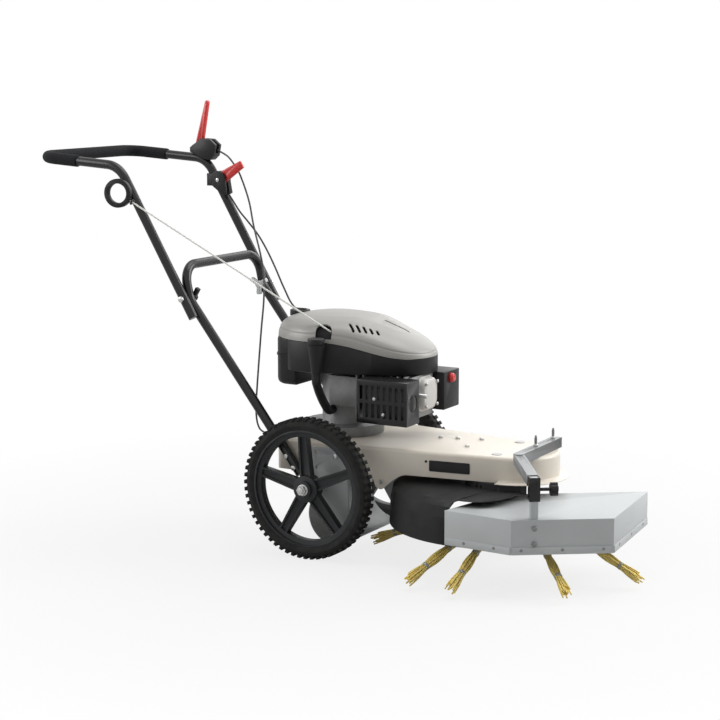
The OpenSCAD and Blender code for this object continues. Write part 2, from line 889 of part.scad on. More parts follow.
module skirt() {
  depth = skirt_t * lap_share;
  color([0.09, 0.09, 0.09]) {
    translate([brush_x, 0, skirt_top - 2 * skirt_t])
      rotate([0, 0, collar_start])
        rotate_extrude(angle = collar_sweep)
          translate([collar_r - collar_w, 0])
            square([collar_w, collar_h + 2 * skirt_t]);
    loft([for (k = [0 : bowl_steps])
      skirt_ring(bowl_shares, bowl_start + bowl_sweep * k / bowl_steps, 0, skirt_t)], band = true);
    loft([for (k = [0 : lap_steps])
      let (w = k / lap_steps)
      skirt_ring(
        shelf_row(mix(shelf_shares[0], shelf_shares[1], pow(w, shelf_power))),
        shelf_start + shelf_sweep * w, depth, skirt_t - depth
      )], band = true);
    loft([for (k = [0 : lap_steps])
      skirt_ring(tongue_shares, shelf_start + tongue_sweep * k / lap_steps, depth, skirt_t - depth)], band = true);
  }
}

// Brush and its spindle
bundle_turns = [70, 106, 145, 190, 252, 271, 313, 347];
socket_share = 0.9;
socket_r_share = 0.58;
tip_share = 0.45;
socket_sides = 8;
bundle_root = [disc_r * socket_share, disc_z + disc_t / 2];
bundle_tip = [brush_r - tip_spread / 2 * tip_share, tip_spread / 2 + strand_d];
bundle_dir = unit(bundle_tip - bundle_root);
bundle_l = norm(bundle_tip - bundle_root);
bundle_lean = atan2(bundle_dir[1], bundle_dir[0]);
boss_share = 0.38;
boss_h_share = 1.4;
seat_share = 0.8;
race_share = 0.3;

module spindle_shape() {
  cylinder(d = spindle_d, h = deck_under - over - disc_z + disc_t);
  cylinder(r = disc_r * boss_share * seat_share, h = disc_t);
}

module spindle() {
  color([0.75, 0.76, 0.78])
    translate([brush_x, 0, disc_z - disc_t])
      spindle_shape();
}

module brush_disc() {
  color([0.2, 0.2, 0.21])
    translate([brush_x, 0, disc_z])
      difference() {
        union() {
          cylinder(r = disc_r, h = disc_t);
          cylinder(r = disc_r * boss_share, h = disc_t + disc_t * boss_h_share);
        }
        translate([0, 0, -over])
          cylinder(d = spindle_d + 2 * run_gap, h = disc_t * 4);
      }
}

// One bundle along +X from its socket, its strands spreading to their tips
module bundle() {
  loft([for (x = [0, socket_l])
    [for (j = [0 : socket_sides - 1])
      let (a = 360 * j / socket_sides, r = root_spread * socket_r_share)
      [x, r * cos(a), r * sin(a)]]]);
  for (k = [1 : ring_count], i = [0 : strand_ring * k - 1])
    let (
      a = 360 * i / (strand_ring * k),
      r0 = root_spread / 2 * k / ring_count,
      r1 = tip_spread / 2 * k / ring_count
    )
    loft([for (end = [[socket_l / 2, r0], [bundle_l, r1]])
      [for (j = [0 : 2])
        [end[0], end[1] * cos(a) + strand_d / 2 * cos(a + 120 * j), end[1] * sin(a) + strand_d / 2 * sin(a + 120 * j)]]]);
}

module wire_bundles() {
  color([0.78, 0.63, 0.2])
    translate([brush_x, 0, 0])
      for (turn = bundle_turns)
        rotate([0, 0, turn])
          translate([bundle_root[0], 0, bundle_root[1]])
            rotate([0, -bundle_lean, 0])
              bundle();
}

module spindle_housing() {
  color([0.5, 0.51, 0.52])
    translate([brush_x, 0, deck_under - housing_h])
      difference() {
        union() {
          cylinder(r = housing_r, h = housing_h);
          translate([0, 0, housing_h - 2 * deck_t])
            cylinder(r = housing_flange_r, h = 2 * deck_t);
        }
        translate([0, 0, over])
          cylinder(d = bearing_d + 2 * run_gap, h = housing_h);
        translate([0, 0, -over])
          cylinder(d = bearing_d - bearing_w * seat_share, h = housing_h);
      }
}

module spindle_bearings() {
  color([0.75, 0.76, 0.78])
    for (i = [0, 1])
      translate([brush_x, 0, deck_under - housing_h + over + i * (bearing_w + free_gap)])
        difference() {
          cylinder(d = bearing_d, h = bearing_w);
          translate([0, 0, -over])
            cylinder(d = spindle_d + 2 * run_gap, h = bearing_w + 2 * over);
          translate([0, 0, i == 1 ? bearing_w - over : -over])
            difference() {
              cylinder(d = mix(bearing_d, spindle_d, race_share), h = 2 * over);
              cylinder(d = mix(spindle_d, bearing_d, race_share), h = 2 * over);
            }
        }
}

// Pulley with a flat groove for the belt
module pulley(d, groove, bore) {
  side = (pulley_h - belt_w) / 2 - free_gap;
  rotate_extrude()
    polygon([
      [bore, 0],
      [d / 2, 0],
      [d / 2, side],
      [groove, side],
      [groove, pulley_h - side],
      [d / 2, pulley_h - side],
      [d / 2, pulley_h],
      [bore, pulley_h]
    ]);
}

module brush_pulley() {
  color([0.3, 0.3, 0.31])
    translate([brush_x, 0, pulley_z])
      pulley(driven_d, driven_groove, spindle_d / 2 + run_gap);
}

module drive_pulley() {
  color([0.3, 0.3, 0.31])
    translate([crank_x, 0, pulley_z])
      pulley(drive_d, drive_groove, crank_d / 2 + run_gap);
}

// Points of a loop round two pulleys
loop_steps = 24;
function loop_points(x1, r1, x2, r2) =
  let (lean = acos((r1 - r2) / (x2 - x1)))
  concat(
    [for (i = [0 : loop_steps]) let (a = lean + (360 - 2 * lean) * i / loop_steps) [x1 + r1 * cos(a), r1 * sin(a)]],
    [for (i = [0 : loop_steps]) let (a = -lean + 2 * lean * i / loop_steps) [x2 + r2 * cos(a), r2 * sin(a)]]
  );

module belt() {
  r1 = drive_groove + free_gap;
  r2 = driven_groove + free_gap;
  color([0.08, 0.08, 0.08])
    translate([0, 0, belt_z])
      linear_extrude(belt_w)
        difference() {
          polygon(loop_points(crank_x, r1 + belt_t, brush_x, r2 + belt_t));
          polygon(loop_points(crank_x, r1, brush_x, r2));
        }
}

// Idler, drawn at its engaged place and swung back from the belt
idler_z = belt_z + belt_w / 2;
idler_arm_z = pulley_z + pulley_h + free_gap;
idler_boss_d = 22;
idler_pin = 10;

module idler_swung() {
  translate([idler_pivot[0], idler_pivot[1], 0])
    rotate([0, 0, idler_lean - idler_swing])
      children();
}

module idler_arm() {
  color([0.6, 0.61, 0.62])
    idler_swung() {
      difference() {
        union() {
          translate([-idler_l, -idler_boss_d / 2, idler_arm_z])
            cube([idler_l, idler_boss_d, idler_t]);
          translate([0, 0, idler_arm_z])
            cylinder(d = idler_boss_d, h = 3 * idler_t);
          translate([-idler_l, 0, idler_arm_z])
            cylinder(d = idler_boss_d, h = idler_t);
        }
        translate([0, 0, idler_arm_z - over])
          cylinder(d = idler_pin_d + 2 * run_gap, h = 4 * idler_t);
      }
      translate([-idler_l, 0, idler_z - idler_w / 2])
        cylinder(d = idler_pin, h = idler_arm_z + over - idler_z + idler_w / 2);
    }
}

module idler_pulley() {
  color([0.2, 0.2, 0.21])
    idler_swung()
      translate([-idler_l, 0, idler_z - idler_w / 2])
        difference() {
          cylinder(r = idler_r, h = idler_w);
          translate([0, 0, -over])
            cylinder(d = idler_pin + 2 * run_gap, h = idler_w + 2 * over);
        }
}

crank_tail_share = 0.35;
crank_head_share = 0.8;
flywheel_share = 0.2;

module crankshaft() {
  foot = pulley_z - pulley_h * crank_tail_share;
  color([0.75, 0.76, 0.78])
    translate([crank_x, 0, foot])
      cylinder(d = crank_d, h = shroud_z + shroud_h * crank_head_share - foot);
}

module flywheel() {
  color([0.55, 0.56, 0.57])
    translate([crank_x, 0, shroud_z + shroud_h * flywheel_share])
      difference() {
        cylinder(d = flywheel_d, h = flywheel_t);
        translate([0, 0, -over])
          cylinder(d = crank_d + 2 * run_gap, h = flywheel_t + 2 * over);
      }
}

// Guard, drawn from the left end of its front panel
guard_at = [brush_x + 124, -299];
guard_low = guard_top - guard_h;
guard_left = [-left_run, left_depth];
guard_right = [front_l + right_run, guard_depth];
guard_back = [15, guard_depth];
guard_edges = [[guard_left, [0, 0]], [[0, 0], [front_l, 0]], [[front_l, 0], guard_right]];
rivet_shares = [[0.3, 0.75], [0.1, 0.5, 0.9], [0.15, 0.5, 0.85]];
rivet_low_share = 0.13;
rivet_h_share = 0.25;
post_foot_share = 0.1;
post_bolt_shares = [0.3, 0.75];
post_at = [post_run, guard_t + post_w / 2];
sleeve_foot = deck_top + over - sleeve_h;
post_gap = 2 * free_gap;
knob_z_share = 0.47;

module guard_frame() {
  translate([guard_at[0], guard_at[1], 0])
    rotate([0, 0, guard_turn])
      children();
}

// Strip of the sheet's thickness inside one edge of the plan
module edge_strip(p, q) {
  d = (q - p) / norm(q - p);
  n = [-d[1], d[0]] * guard_t;
  polygon([p, q, q + n, p + n]);
}

module guard_hood() {
  color([0.78, 0.8, 0.8])
    guard_frame() {
      translate([0, 0, guard_top - guard_t])
        linear_extrude(guard_t)
          difference() {
            polygon([[0, 0], [front_l, 0], guard_right, guard_back, guard_left]);
            translate(post_at) square(post_w + post_gap, center = true);
          }
      for (e = guard_edges)
        translate([0, 0, guard_low])
          linear_extrude(guard_h)
            edge_strip(e[0], e[1]);
    }
}

// Places along a panel's outside, with Z pointing out of it
module on_edge(e, share, z) {
  p = e[0] + (e[1] - e[0]) * share;
  turn = atan2(e[1][1] - e[0][1], e[1][0] - e[0][0]);
  translate([p[0], p[1], z])
    rotate([90, 0, turn])
      children();
}

module guard_rivets() {
  color([0.75, 0.76, 0.78])
    guard_frame() {
      for (k = [0 : 2], share = rivet_shares[k])
        on_edge(guard_edges[k], share, guard_low + guard_h * rivet_low_share)
          cylinder(d = rivet_d, h = rivet_d * rivet_h_share);
      for (share = post_bolt_shares)
        on_edge(guard_edges[1], post_run / front_l, guard_low + guard_h * share)
          hex(rivet_d * head_share, rivet_d / 2);
    }
}

module guard_post() {
  color([0.75, 0.77, 0.77])
    guard_frame()
      translate([post_at[0] - post_w / 2, post_at[1] - post_w / 2, guard_low + guard_h * post_foot_share])
        cube([post_w, post_w, deck_top - guard_low - guard_h * post_foot_share]);
}

module sleeve_box(side, z0, z1) {
  guard_frame()
    translate([post_at[0] - side / 2, post_at[1] - side / 2, z0])
      cube([side, side, z1 - z0]);
}

module guard_sleeve() {
  color([0.07, 0.07, 0.07])
    difference() {
      sleeve_box(sleeve_w, sleeve_foot, sleeve_foot + sleeve_h);
      sleeve_box(post_w + post_gap, sleeve_foot - over, sleeve_foot + sleeve_h + over);
      guard_frame()
        translate([post_at[0], post_at[1], sleeve_foot + sleeve_h * knob_z_share])
          rotate([0, 90, 0])
            cylinder(d = star_stud_d + 2 * run_gap, h = sleeve_w);
    }
}

module height_knob() {
  reach = sleeve_w / 2 + star_stud_l;
  color([0.07, 0.07, 0.07])
    guard_frame()
      translate([post_at[0], post_at[1], sleeve_foot + sleeve_h * knob_z_share])
        rotate([0, 90, 0]) {
          translate([0, 0, post_w / 2 + free_gap])
            cylinder(d = star_stud_d, h = reach + over - post_w / 2 - free_gap);
          translate([0, 0, reach])
            difference() {
              cylinder(d = star_d, h = star_t);
              for (i = [0 : 4])
                rotate([0, 0, 72 * i])
                  translate([star_d * star_share, 0, -over])
                    cylinder(d = star_d * star_cut_share, h = star_t + 2 * over);
            }
        }
}
star_share = 0.56;
star_cut_share = 0.32;

// Square arm from the deck's nose to the sleeve
arm_bend = [brush_x + arm_ahead, -arm_right, deck_top + arm_w / 2];
arm_drop_share = 0.54;
sleeve_mid = [
  guard_at[0] + post_at[0] * cos(guard_turn) - post_at[1] * sin(guard_turn),
  guard_at[1] + post_at[0] * sin(guard_turn) + post_at[1] * cos(guard_turn),
  sleeve_foot + sleeve_h - arm_w * arm_drop_share
];
arm_vec = sleeve_mid - arm_bend;

module guard_arm() {
  run = arm_right + arm_left;
  hole = arm_w - 2 * arm_wall;
  color([0.66, 0.68, 0.69])
    difference() {
      union() {
        translate([arm_bend[0] - arm_w / 2, -arm_right, deck_top])
          difference() {
            cube([arm_w, run, arm_w]);
            translate([arm_wall, arm_w, arm_wall])
              cube([hole, run, hole]);
          }
        translate([arm_bend[0], arm_bend[1], deck_top])
          cylinder(d = arm_w, h = arm_w);
        translate(arm_bend)
          rotate([0, atan2(-arm_vec[2], norm([arm_vec[0], arm_vec[1]])), atan2(arm_vec[1], arm_vec[0])])
            translate([0, -arm_w / 2, -arm_w / 2])
              cube([norm(arm_vec), arm_w, arm_w]);
      }
      guard_frame()
        translate([post_at[0] - 2 * sleeve_w, post_at[1] - 2 * sleeve_w, sleeve_foot - arm_w])
          cube([4 * sleeve_w, 2 * sleeve_w + sleeve_w / 2, sleeve_h + 2 * arm_w]);
      for (side = [-1, 1])
        translate([arm_bend[0], side * arm_bolt_y, deck_top - over])
          cylinder(d = small_bolt_d + 2 * run_gap, h = arm_w + 2 * over);
    }
}

// Engine
cylinder_y = -35;
core_share = 0.72;
fin_start_share = 1.55;
fin_x0 = crank_x + case_r * fin_start_share;
fin_x1 = crank_x + cylinder_l;
fin_z = shroud_z - fin_h - free_gap;
tank_x = -192;
tank_curve_r = 152;
tank_seam_share = 0.48;
neck_x = -150;
neck_top_share = 0.8;
cap_space_share = 1.12;
plug_share = 0.7;
cowl_shares = [[0, 0], [0.01, 0.2], [0.04, 0.45], [0.12, 0.68], [0.28, 0.87], [0.54, 1]];
cowl_rows = [for (s = cowl_shares) [s[0] * cover_rear_r, cowl_z + cowl_h * s[1]]];
vent_at = [61, -102];
vent_pitch_share = 2.14;
vent_rise_share = 0.93;
vent_l_share = 3.6;
vent_turn = 52;
pocket_at = [-22, -160, 26];
pocket_size = [46, 48, 41];
muffler_x = crank_x + 130;
muffler_y = -165;
muffler_z = shroud_z - 2 * free_gap - muffler_h;
slot_count = 8;
slot_share = 0.45;
slot_rows = [0.14, 0.55];
slot_h_share = 0.32;
outlet_share = 0.2;
inner_share = 0.82;
stub_share = 0.25;
air_x = crank_x + 185;
air_y = 25;
air_z = shroud_z - 2 * free_gap - air_h;
primer_at = [62, 78];
carb_l = 66;
carb_w = 48;
carb_h = 58;
valve_shares = [0.2, 0.95, 0.14, 0.97];
plug_at = [-79, 125];
plug_d = 16;
plug_l = 36;

module cover_plan(inset) {
  tangent_plan(cover_x, cover_rear_r - inset, cover_front_x, cover_front_r - inset);
}

module engine_block() {
  color([0.6, 0.61, 0.62])
    difference() {
      union() {
        translate([crank_x, 0, engine_z]) {
          cylinder(r = base_r, h = base_t);
          cylinder(r = case_r, h = block_h - free_gap);
        }
        translate([crank_x, cylinder_y - fin_w * core_share / 2, fin_z + fin_h * (1 - core_share) / 2])
          cube([cylinder_l, fin_w * core_share, fin_h * core_share]);
        for (i = [0 : fin_count - 1])
          translate([mix(fin_x0, fin_x1 - fin_t, i / (fin_count - 1)), cylinder_y - fin_w / 2, fin_z])
            cube([fin_t, fin_w, fin_h]);
      }
      translate([crank_x, 0, engine_z - over])
        cylinder(d = crank_d + 2 * run_gap, h = block_h + 2 * over);
    }
}

module valve_cover() {
  color([0.8, 0.77, 0.68])
    translate([fin_x1, cylinder_y - fin_w / 2 + fin_w * valve_shares[0], fin_z + fin_h * valve_shares[2]])
      cube([valve_t, fin_w * (valve_shares[1] - valve_shares[0]), fin_h * (valve_shares[3] - valve_shares[2])]);
}

module spark_plug() {
  color([0.85, 0.85, 0.83])
    translate([fin_x1, plug_at[0], engine_z + plug_at[1]])
      rotate([0, 90, 0]) {
        hex(plug_d, plug_l / 4);
        cylinder(d = plug_d * plug_share, h = plug_l);
      }
}

module muffler() {
  room = muffler_l * (1 - inner_share) / 2;
  back = muffler_y + muffler_w;
  color([0.35, 0.34, 0.33])
    translate([0, 0, muffler_z]) {
      translate([muffler_x + room, muffler_y + room, room])
        cube([muffler_l - 2 * room, muffler_w - room, muffler_h - 2 * room]);
      translate([muffler_x + muffler_l / 2, back - over, muffler_h / 2])
        rotate([-90, 0, 0])
          cylinder(d = muffler_w / 2, h = cylinder_y - fin_w / 2 - free_gap - back + over);
      for (share = [stub_share, 1 - stub_share])
        translate([muffler_x + muffler_l * share, muffler_y + muffler_t, muffler_h / 2])
          rotate([-90, 0, 0])
            cylinder(d = small_bolt_d, h = room);
    }
}

module muffler_guard() {
  color([0.07, 0.07, 0.07])
    translate([muffler_x, muffler_y, muffler_z])
      difference() {
        cube([muffler_l, muffler_w, muffler_h]);
        translate([muffler_t, muffler_t, muffler_t])
          cube([muffler_l - 2 * muffler_t, muffler_w, muffler_h - 2 * muffler_t]);
        for (i = [0 : slot_count - 1], row = slot_rows)
          translate([muffler_l * (i + (1 - slot_share)) / (slot_count + 1 - slot_share), -over, muffler_h * row])
            cube([muffler_l * slot_share / slot_count, muffler_t + 2 * over, muffler_h * slot_h_share]);
        translate([muffler_l - 2 * muffler_t, muffler_w / 2, muffler_h / 2])
          rotate([0, 90, 0])
            cylinder(r = muffler_h * outlet_share, h = 4 * muffler_t);
      }
}

module air_box() {
  color([0.07, 0.07, 0.07])
    difference() {
      translate([air_x, air_y, air_z])
        cube([air_l, air_w, air_h]);
      translate([air_x + air_l - 2 * primer_travel, primer_at[0], air_z + primer_at[1]])
        rotate([0, 90, 0])
          cylinder(r = primer_r + run_gap, h = 3 * primer_travel);
    }
}

module primer_bulb() {
  color([0.75, 0.07, 0.06])
    translate([air_x + air_l - primer_travel + free_gap, primer_at[0], air_z + primer_at[1]])
      rotate([0, 90, 0]) {
        cylinder(r = primer_r, h = primer_travel * 2);
        translate([0, 0, 2 * primer_travel])
          cylinder(r1 = primer_r, r2 = primer_r * plug_share, h = primer_travel);
      }
}

module carburettor() {
  color([0.55, 0.56, 0.57])
    translate([air_x - carb_l, cylinder_y + fin_w / 2 + free_gap, air_z + (air_h - carb_h) / 2])
      cube([carb_l, carb_w, carb_h]);
}

module tank_plan(grow) {
  intersection() {
    translate([cover_x, 0])
      circle(r = tank_curve_r + grow);
    translate([tank_x - grow, -tank_w / 2 - grow])
      square([tank_l + grow, tank_w + 2 * grow]);
  }
}

module fuel_tank() {
  foot = cowl_z - free_gap - tank_h;
  neck_top = cowl_z + cowl_h * neck_top_share;
  color([0.06, 0.06, 0.06])
    difference() {
      union() {
        translate([0, 0, foot])
          linear_extrude(tank_h)
            tank_plan(0);
        translate([0, 0, foot + tank_h * tank_seam_share])
          linear_extrude(2 * over)
            tank_plan(2 * over);
        translate([neck_x, 0, foot + tank_h - over])
          cylinder(r = neck_r, h = neck_top - foot - tank_h + over);
      }
      translate([neck_x, 0, neck_top - cap_h])
        cylinder(r = neck_r * plug_share + run_gap, h = cap_h + over);
    }
}

module fuel_cap() {
  neck_top = cowl_z + cowl_h * neck_top_share;
  color([0.05, 0.05, 0.05])
    translate([neck_x, 0, neck_top + free_gap]) {
      cylinder(r = cap_r, h = cap_h);
      translate([0, 0, -cap_h * plug_share])
        cylinder(r = neck_r * plug_share, h = cap_h);
      translate([-cap_r * plug_share, -cap_r * stub_share / 2, cap_h - over])
        cube([2 * cap_r * plug_share, cap_r * stub_share, cap_h / 3]);
    }
}

module engine_shroud() {
  color([0.06, 0.06, 0.06])
    difference() {
      union() {
        translate([0, 0, shroud_z])
          linear_extrude(shroud_h)
            difference() {
              cover_plan(0);
              cover_plan(cowl_t);
            }
        translate([0, 0, shroud_z])
          linear_extrude(cowl_t)
            cover_plan(cowl_t / 2);
      }
      translate([tank_x - tank_l, -cover_rear_r - over, shroud_z - over])
        cube([2 * tank_l + free_gap, 2 * (cover_rear_r + over), shroud_h + 2 * over]);
      translate([crank_x, 0, shroud_z - over])
        cylinder(d = crank_d * crank_hole_share, h = cowl_t + 2 * over);
    }
}

nose_share = 0.58;
nose_lean = 20.3;

// Space under the cowl's sloping nose, lowered by a stated depth
module nose_space(depth) {
  start = mix(cover_x, cover_front_x, nose_share);
  rear = cover_x - cover_rear_r - over;
  front = cover_front_x + cover_front_r + over;
  top = cowl_z + cowl_h + over - depth;
  translate([0, cover_rear_r + over, 0])
    rotate([90, 0, 0])
      linear_extrude(2 * (cover_rear_r + over))
        polygon([
          [rear, cowl_z - 2 * over],
          [front, cowl_z - 2 * over],
          [front, top - (front - start) * tan(nose_lean)],
          [start, top],
          [rear, top]
        ]);
}

module engine_cowl() {
  color([0.62, 0.61, 0.58])
    difference() {
      intersection() {
        loft([for (row = cowl_rows) cover_points(row[0], row[1])]);
        nose_space(0);
      }
      intersection() {
        loft([for (i = [0 : len(cowl_rows) - 1])
          let (row = cowl_rows[i])
          cover_points(row[0] + cowl_t, i == 0 ? row[1] - over : row[1] - cowl_t * cowl_shares[i][1])]);
        nose_space(cowl_t);
      }
      for (i = [0 : vent_count - 1])
        translate([
          vent_at[0] + i * vent_w * vent_pitch_share,
          vent_at[1] + i * vent_w * vent_rise_share,
          cowl_z + cowl_h / 4
        ])
          rotate([0, 0, vent_turn])
            translate([0, -vent_w * vent_l_share / 2, 0])
              cube([vent_w, vent_w * vent_l_share, cowl_h]);
      translate([pocket_at[0], pocket_at[1], cowl_z + pocket_at[2]])
        cube(pocket_size);
      translate([neck_x, 0, cowl_z - over])
        cylinder(r = cap_r * cap_space_share, h = cowl_h + 2 * over);
    }
}

oil_at = [0, -173];
oil_top = cowl_z + 20;
oil_turn = -90;
oil_foot_z = engine_z + 65;
function oil_foot(grow) = [
  crank_x + (case_r + grow) * cos(oil_turn),
  (case_r + grow) * sin(oil_turn),
  oil_foot_z
];
oil_route = [
  oil_foot(free_gap),
  oil_foot(2 * oil_r),
  [-14, -112, oil_foot_z + 25],
  [-6, -148, oil_foot_z + 58],
  [oil_at[0], oil_at[1], oil_foot_z + 88],
  [oil_at[0], oil_at[1], oil_top - oil_cone_h + over]
];
oil_bore_share = 0.6;

module oil_tube() {
  color([0.06, 0.06, 0.06])
    difference() {
      union() {
        tube(oil_route, oil_r, tube_sides);
        translate([oil_at[0], oil_at[1], oil_top - oil_cone_h])
          cylinder(r1 = oil_r + over, r2 = oil_mouth_r, h = oil_cone_h);
      }
      translate([oil_at[0], oil_at[1], oil_top - dip_l - 2 * over])
        cylinder(r = oil_r * oil_bore_share, h = dip_l + 3 * over);
    }
}

module dipstick() {
  color([0.05, 0.05, 0.05])
    translate([oil_at[0], oil_at[1], oil_top + free_gap]) {
      cylinder(r = oil_mouth_r, h = cap_h);
      translate([0, 0, -dip_l])
        cylinder(r = dip_r, h = dip_l + over);
    }
}

// Handles
hinge_in = lower_y - tube_r - free_gap - wing_t;
hinge_out = upper_y + tube_r;
dome_share = 1.9;
dome_h_share = 0.6;

module hinge_hole(y) {
  translate(at(hinge_at, y))
    along_y(hinge_d + 2 * run_gap, 2 * tube_d);
}

module lower_handle() {
  color([0.06, 0.06, 0.06])
    difference() {
      tube(lower_route, tube_r, tube_sides);
      for (side = [-1, 1]) {
        hinge_hole(side * lower_y);
        for (p = leg_bolts)
          translate(at(p, side * lower_y))
            along_y(small_bolt_d + 2 * run_gap, 2 * tube_d);
      }
    }
}

module handle_bolts() {
  color([0.75, 0.76, 0.78])
    for (side = [-1, 1]) {
      for (p = leg_bolts)
        translate(at(p, side * (lower_y + tube_r)))
          rotate([-90 * side, 0, 0])
            bolt(tube_d + 3 * deck_t);
      translate(at(hinge_at, side * hinge_in))
        rotate([-90 * side, 0, 0]) {
          cylinder(d = hinge_d, h = hinge_out - hinge_in + over);
          translate([0, 0, hinge_out - hinge_in])
            cylinder(d = hinge_d * dome_share, h = hinge_d * dome_h_share);
        }
    }
}

module upper_handle() {
  color([0.06, 0.06, 0.06])
    difference() {
      tube(upper_route, tube_r, tube_sides);
      for (side = [-1, 1])
        hinge_hole(side * upper_y);
    }
}

module foam_grip() {
  color([0.03, 0.03, 0.03])
    difference() {
      tube(grip_route(foam_l), foam_d / 2, tube_sides);
      tube(grip_route(foam_l + 2 * over), tube_r + free_gap, tube_sides);
    }
}

wing_share = 0.35;
wing_end_share = 0.4;

// Wing knob on a hinge bolt, with its wings across Y
module wing_knob(side, wings, turn) {
  translate(at(hinge_at, side * hinge_in))
    rotate([-90 * side, 0, 0])
      linear_extrude(wing_t)
        difference() {
          union() {
            circle(d = wing_l * 2 * wing_share);
            for (i = [0 : wings - 1])
              rotate(turn + 360 * i / wings)
                polygon([
                  [0, -wing_l * wing_share / 2],
                  [wing_l, -wing_l * wing_end_share / 2],
                  [wing_l, wing_l * wing_end_share / 2],
                  [0, wing_l * wing_share / 2]
                ]);
          }
          circle(d = hinge_d + 2 * run_gap);
        }
}

module wing_knob_right() {
  color([0.05, 0.05, 0.05]) wing_knob(-1, 2, 60);
}

module wing_knob_left() {
  color([0.75, 0.76, 0.76]) wing_knob(1, 3, 90);
}

// Clutch lever and its mount on the left elbow
mount_low = elbow_at - [44, 12];
mount_high = elbow_at + [39, 55];
mount_shares = [
  [0, 0.45], [0, 0.63], [0.11, 0.73], [0.45, 1], [0.77, 0.98], [1, 0.75], [0.93, 0.31], [0.76, 0.13], [0.49, 0.19]
];
clutch_pivot = elbow_at + [-24, 28];
mount_w = 32;
lever_turn = 77;
cheek_share = 1.1;

module lever_mount() {
  color([0.05, 0.05, 0.05]) {
    difference() {
      translate([0, upper_y + mount_w / 2, 0])
        rotate([90, 0, 0])
          linear_extrude(mount_w)
            polygon([for (s = mount_shares)
              [mix(mount_low[0], mount_high[0], s[0]), mix(mount_low[1], mount_high[1], s[1])]]);
      tube(upper_route, tube_r + free_gap, tube_sides);
      translate([mount_low[0] - over, upper_y - clutch_t / 2 - free_gap, clutch_pivot[1] - clutch_root * cheek_share / 2])
        cube([mount_high[0] - mount_low[0] + 2 * over, clutch_t + 2 * free_gap, clutch_root * 2]);
    }
    translate(at(clutch_pivot, upper_y))
      along_y(pivot_d, mount_w - 2 * over);
  }
}

module clutch_lever() {
  color([0.78, 0.05, 0.05])
    translate(at(clutch_pivot, upper_y + clutch_t / 2))
      rotate([90, 0, 0])
        linear_extrude(clutch_t)
          rotate(lever_turn)
            difference() {
              union() {
                circle(d = clutch_root);
                polygon([
                  [0, -clutch_root / 2],
                  [clutch_l - clutch_tip / 2, -clutch_tip / 2],
                  [clutch_l - clutch_tip / 2, clutch_tip / 2],
                  [0, clutch_root / 2]
                ]);
                translate([clutch_l - clutch_tip / 2, 0]) circle(d = clutch_tip);
              }
              circle(d = pivot_d + 2 * run_gap);
            }
}

// Throttle on the inner side of the left leg
throttle_rise_share = 0.83;
throttle_leg = mix(hinge_at, elbow_at, throttle_rise_share);
throttle_pivot = throttle_leg + [30, 2];
throttle_out = upper_y - tube_r - free_gap;
throttle_in = throttle_out - throttle_w;
throttle_turn = 31;
throttle_tip_share = 0.12;
throttle_root_share = 0.42;
throttle_drop_share = 1.9;
throttle_face_share = 0.4;
clamp_share = 0.7;

module throttle_housing() {
  color([0.05, 0.05, 0.05]) {
    translate(at(throttle_pivot, throttle_out))
      rotate([90, 0, 0])
        linear_extrude(throttle_w)
          union() {
            circle(r = throttle_r);
            rotate(-60)
              polygon([
                [0, -throttle_r],
                [throttle_r * throttle_drop_share, -throttle_r / 3],
                [throttle_r * throttle_drop_share, throttle_r / 3],
                [0, throttle_r]
              ]);
          }
    difference() {
      translate([throttle_leg[0] - throttle_r, throttle_out - over, throttle_leg[1] - throttle_r * clamp_share])
        cube([throttle_r * 2, tube_d + throttle_r / 3, throttle_r * 2 * clamp_share]);
      tube(upper_route, tube_r + free_gap, tube_sides);
    }
    translate(at(throttle_pivot, throttle_in - throttle_t / 2))
      along_y(pivot_d, throttle_t + 2 * over);
    translate(at(throttle_pivot, throttle_in - throttle_t - free_gap))
      rotate([90, 0, 0])
        linear_extrude(throttle_w * throttle_face_share)
          hull() {
            circle(r = throttle_r);
            rotate(-60) translate([throttle_r * throttle_drop_share - throttle_r / 3, 0]) circle(r = throttle_r / 3);
          }
  }
}

module throttle_lever() {
  color([0.78, 0.05, 0.05])
    translate(at(throttle_pivot, throttle_in - free_gap))
      rotate([90, 0, 0])
        linear_extrude(throttle_t - free_gap)
          rotate(throttle_turn)
            difference() {
              union() {
                circle(d = throttle_l * throttle_root_share);
                polygon([
                  [0, -throttle_l * throttle_root_share / 2],
                  [throttle_l, -throttle_l * throttle_tip_share],
                  [throttle_l, throttle_l * throttle_tip_share],
                  [0, throttle_l * throttle_root_share / 2]
                ]);
              }
              circle(d = pivot_d + 2 * run_gap);
            }
}

// Starter rope, its guide on the right leg and its grip
guide_rise_share = 0.73;
guide_leg = mix(hinge_at, elbow_at, guide_rise_share);
eye_r = rope_d / 2 + eye_wire / 2 + 2 * free_gap;
guide_at = at(guide_leg, -upper_y - tube_r - eye_r - eye_wire / 2);
rope_end = [14, -122, cowl_z + 46];
pull_dir = unit(guide_at - rope_end);
pull_yaw = atan2(pull_dir[1], pull_dir[0]);
pull_rise = asin(pull_dir[2]);
rope_rings = 12;
lead_l = 6;
grip_neck = grip_ring + over;
guide_base_share = 0.8;

module at_guide() {
  translate(guide_at)
    rotate([0, -pull_rise, pull_yaw])
      children();
}

module rope_guide() {
  color([0.06, 0.06, 0.06])
    difference() {
      union() {
        at_guide()
          rotate([0, 90, 0])
            rotate_extrude()
              translate([eye_r, 0])
                circle(d = eye_wire);
        translate(guide_at + [0, eye_r + eye_wire / 2 + tube_r * guide_base_share, 0])
          rotate([90, 0, 0])
            cylinder(d = eye_wire * 2, h = tube_r * guide_base_share + eye_wire);
      }
      tube(upper_route, tube_r + free_gap / 2, tube_sides);
    }
}

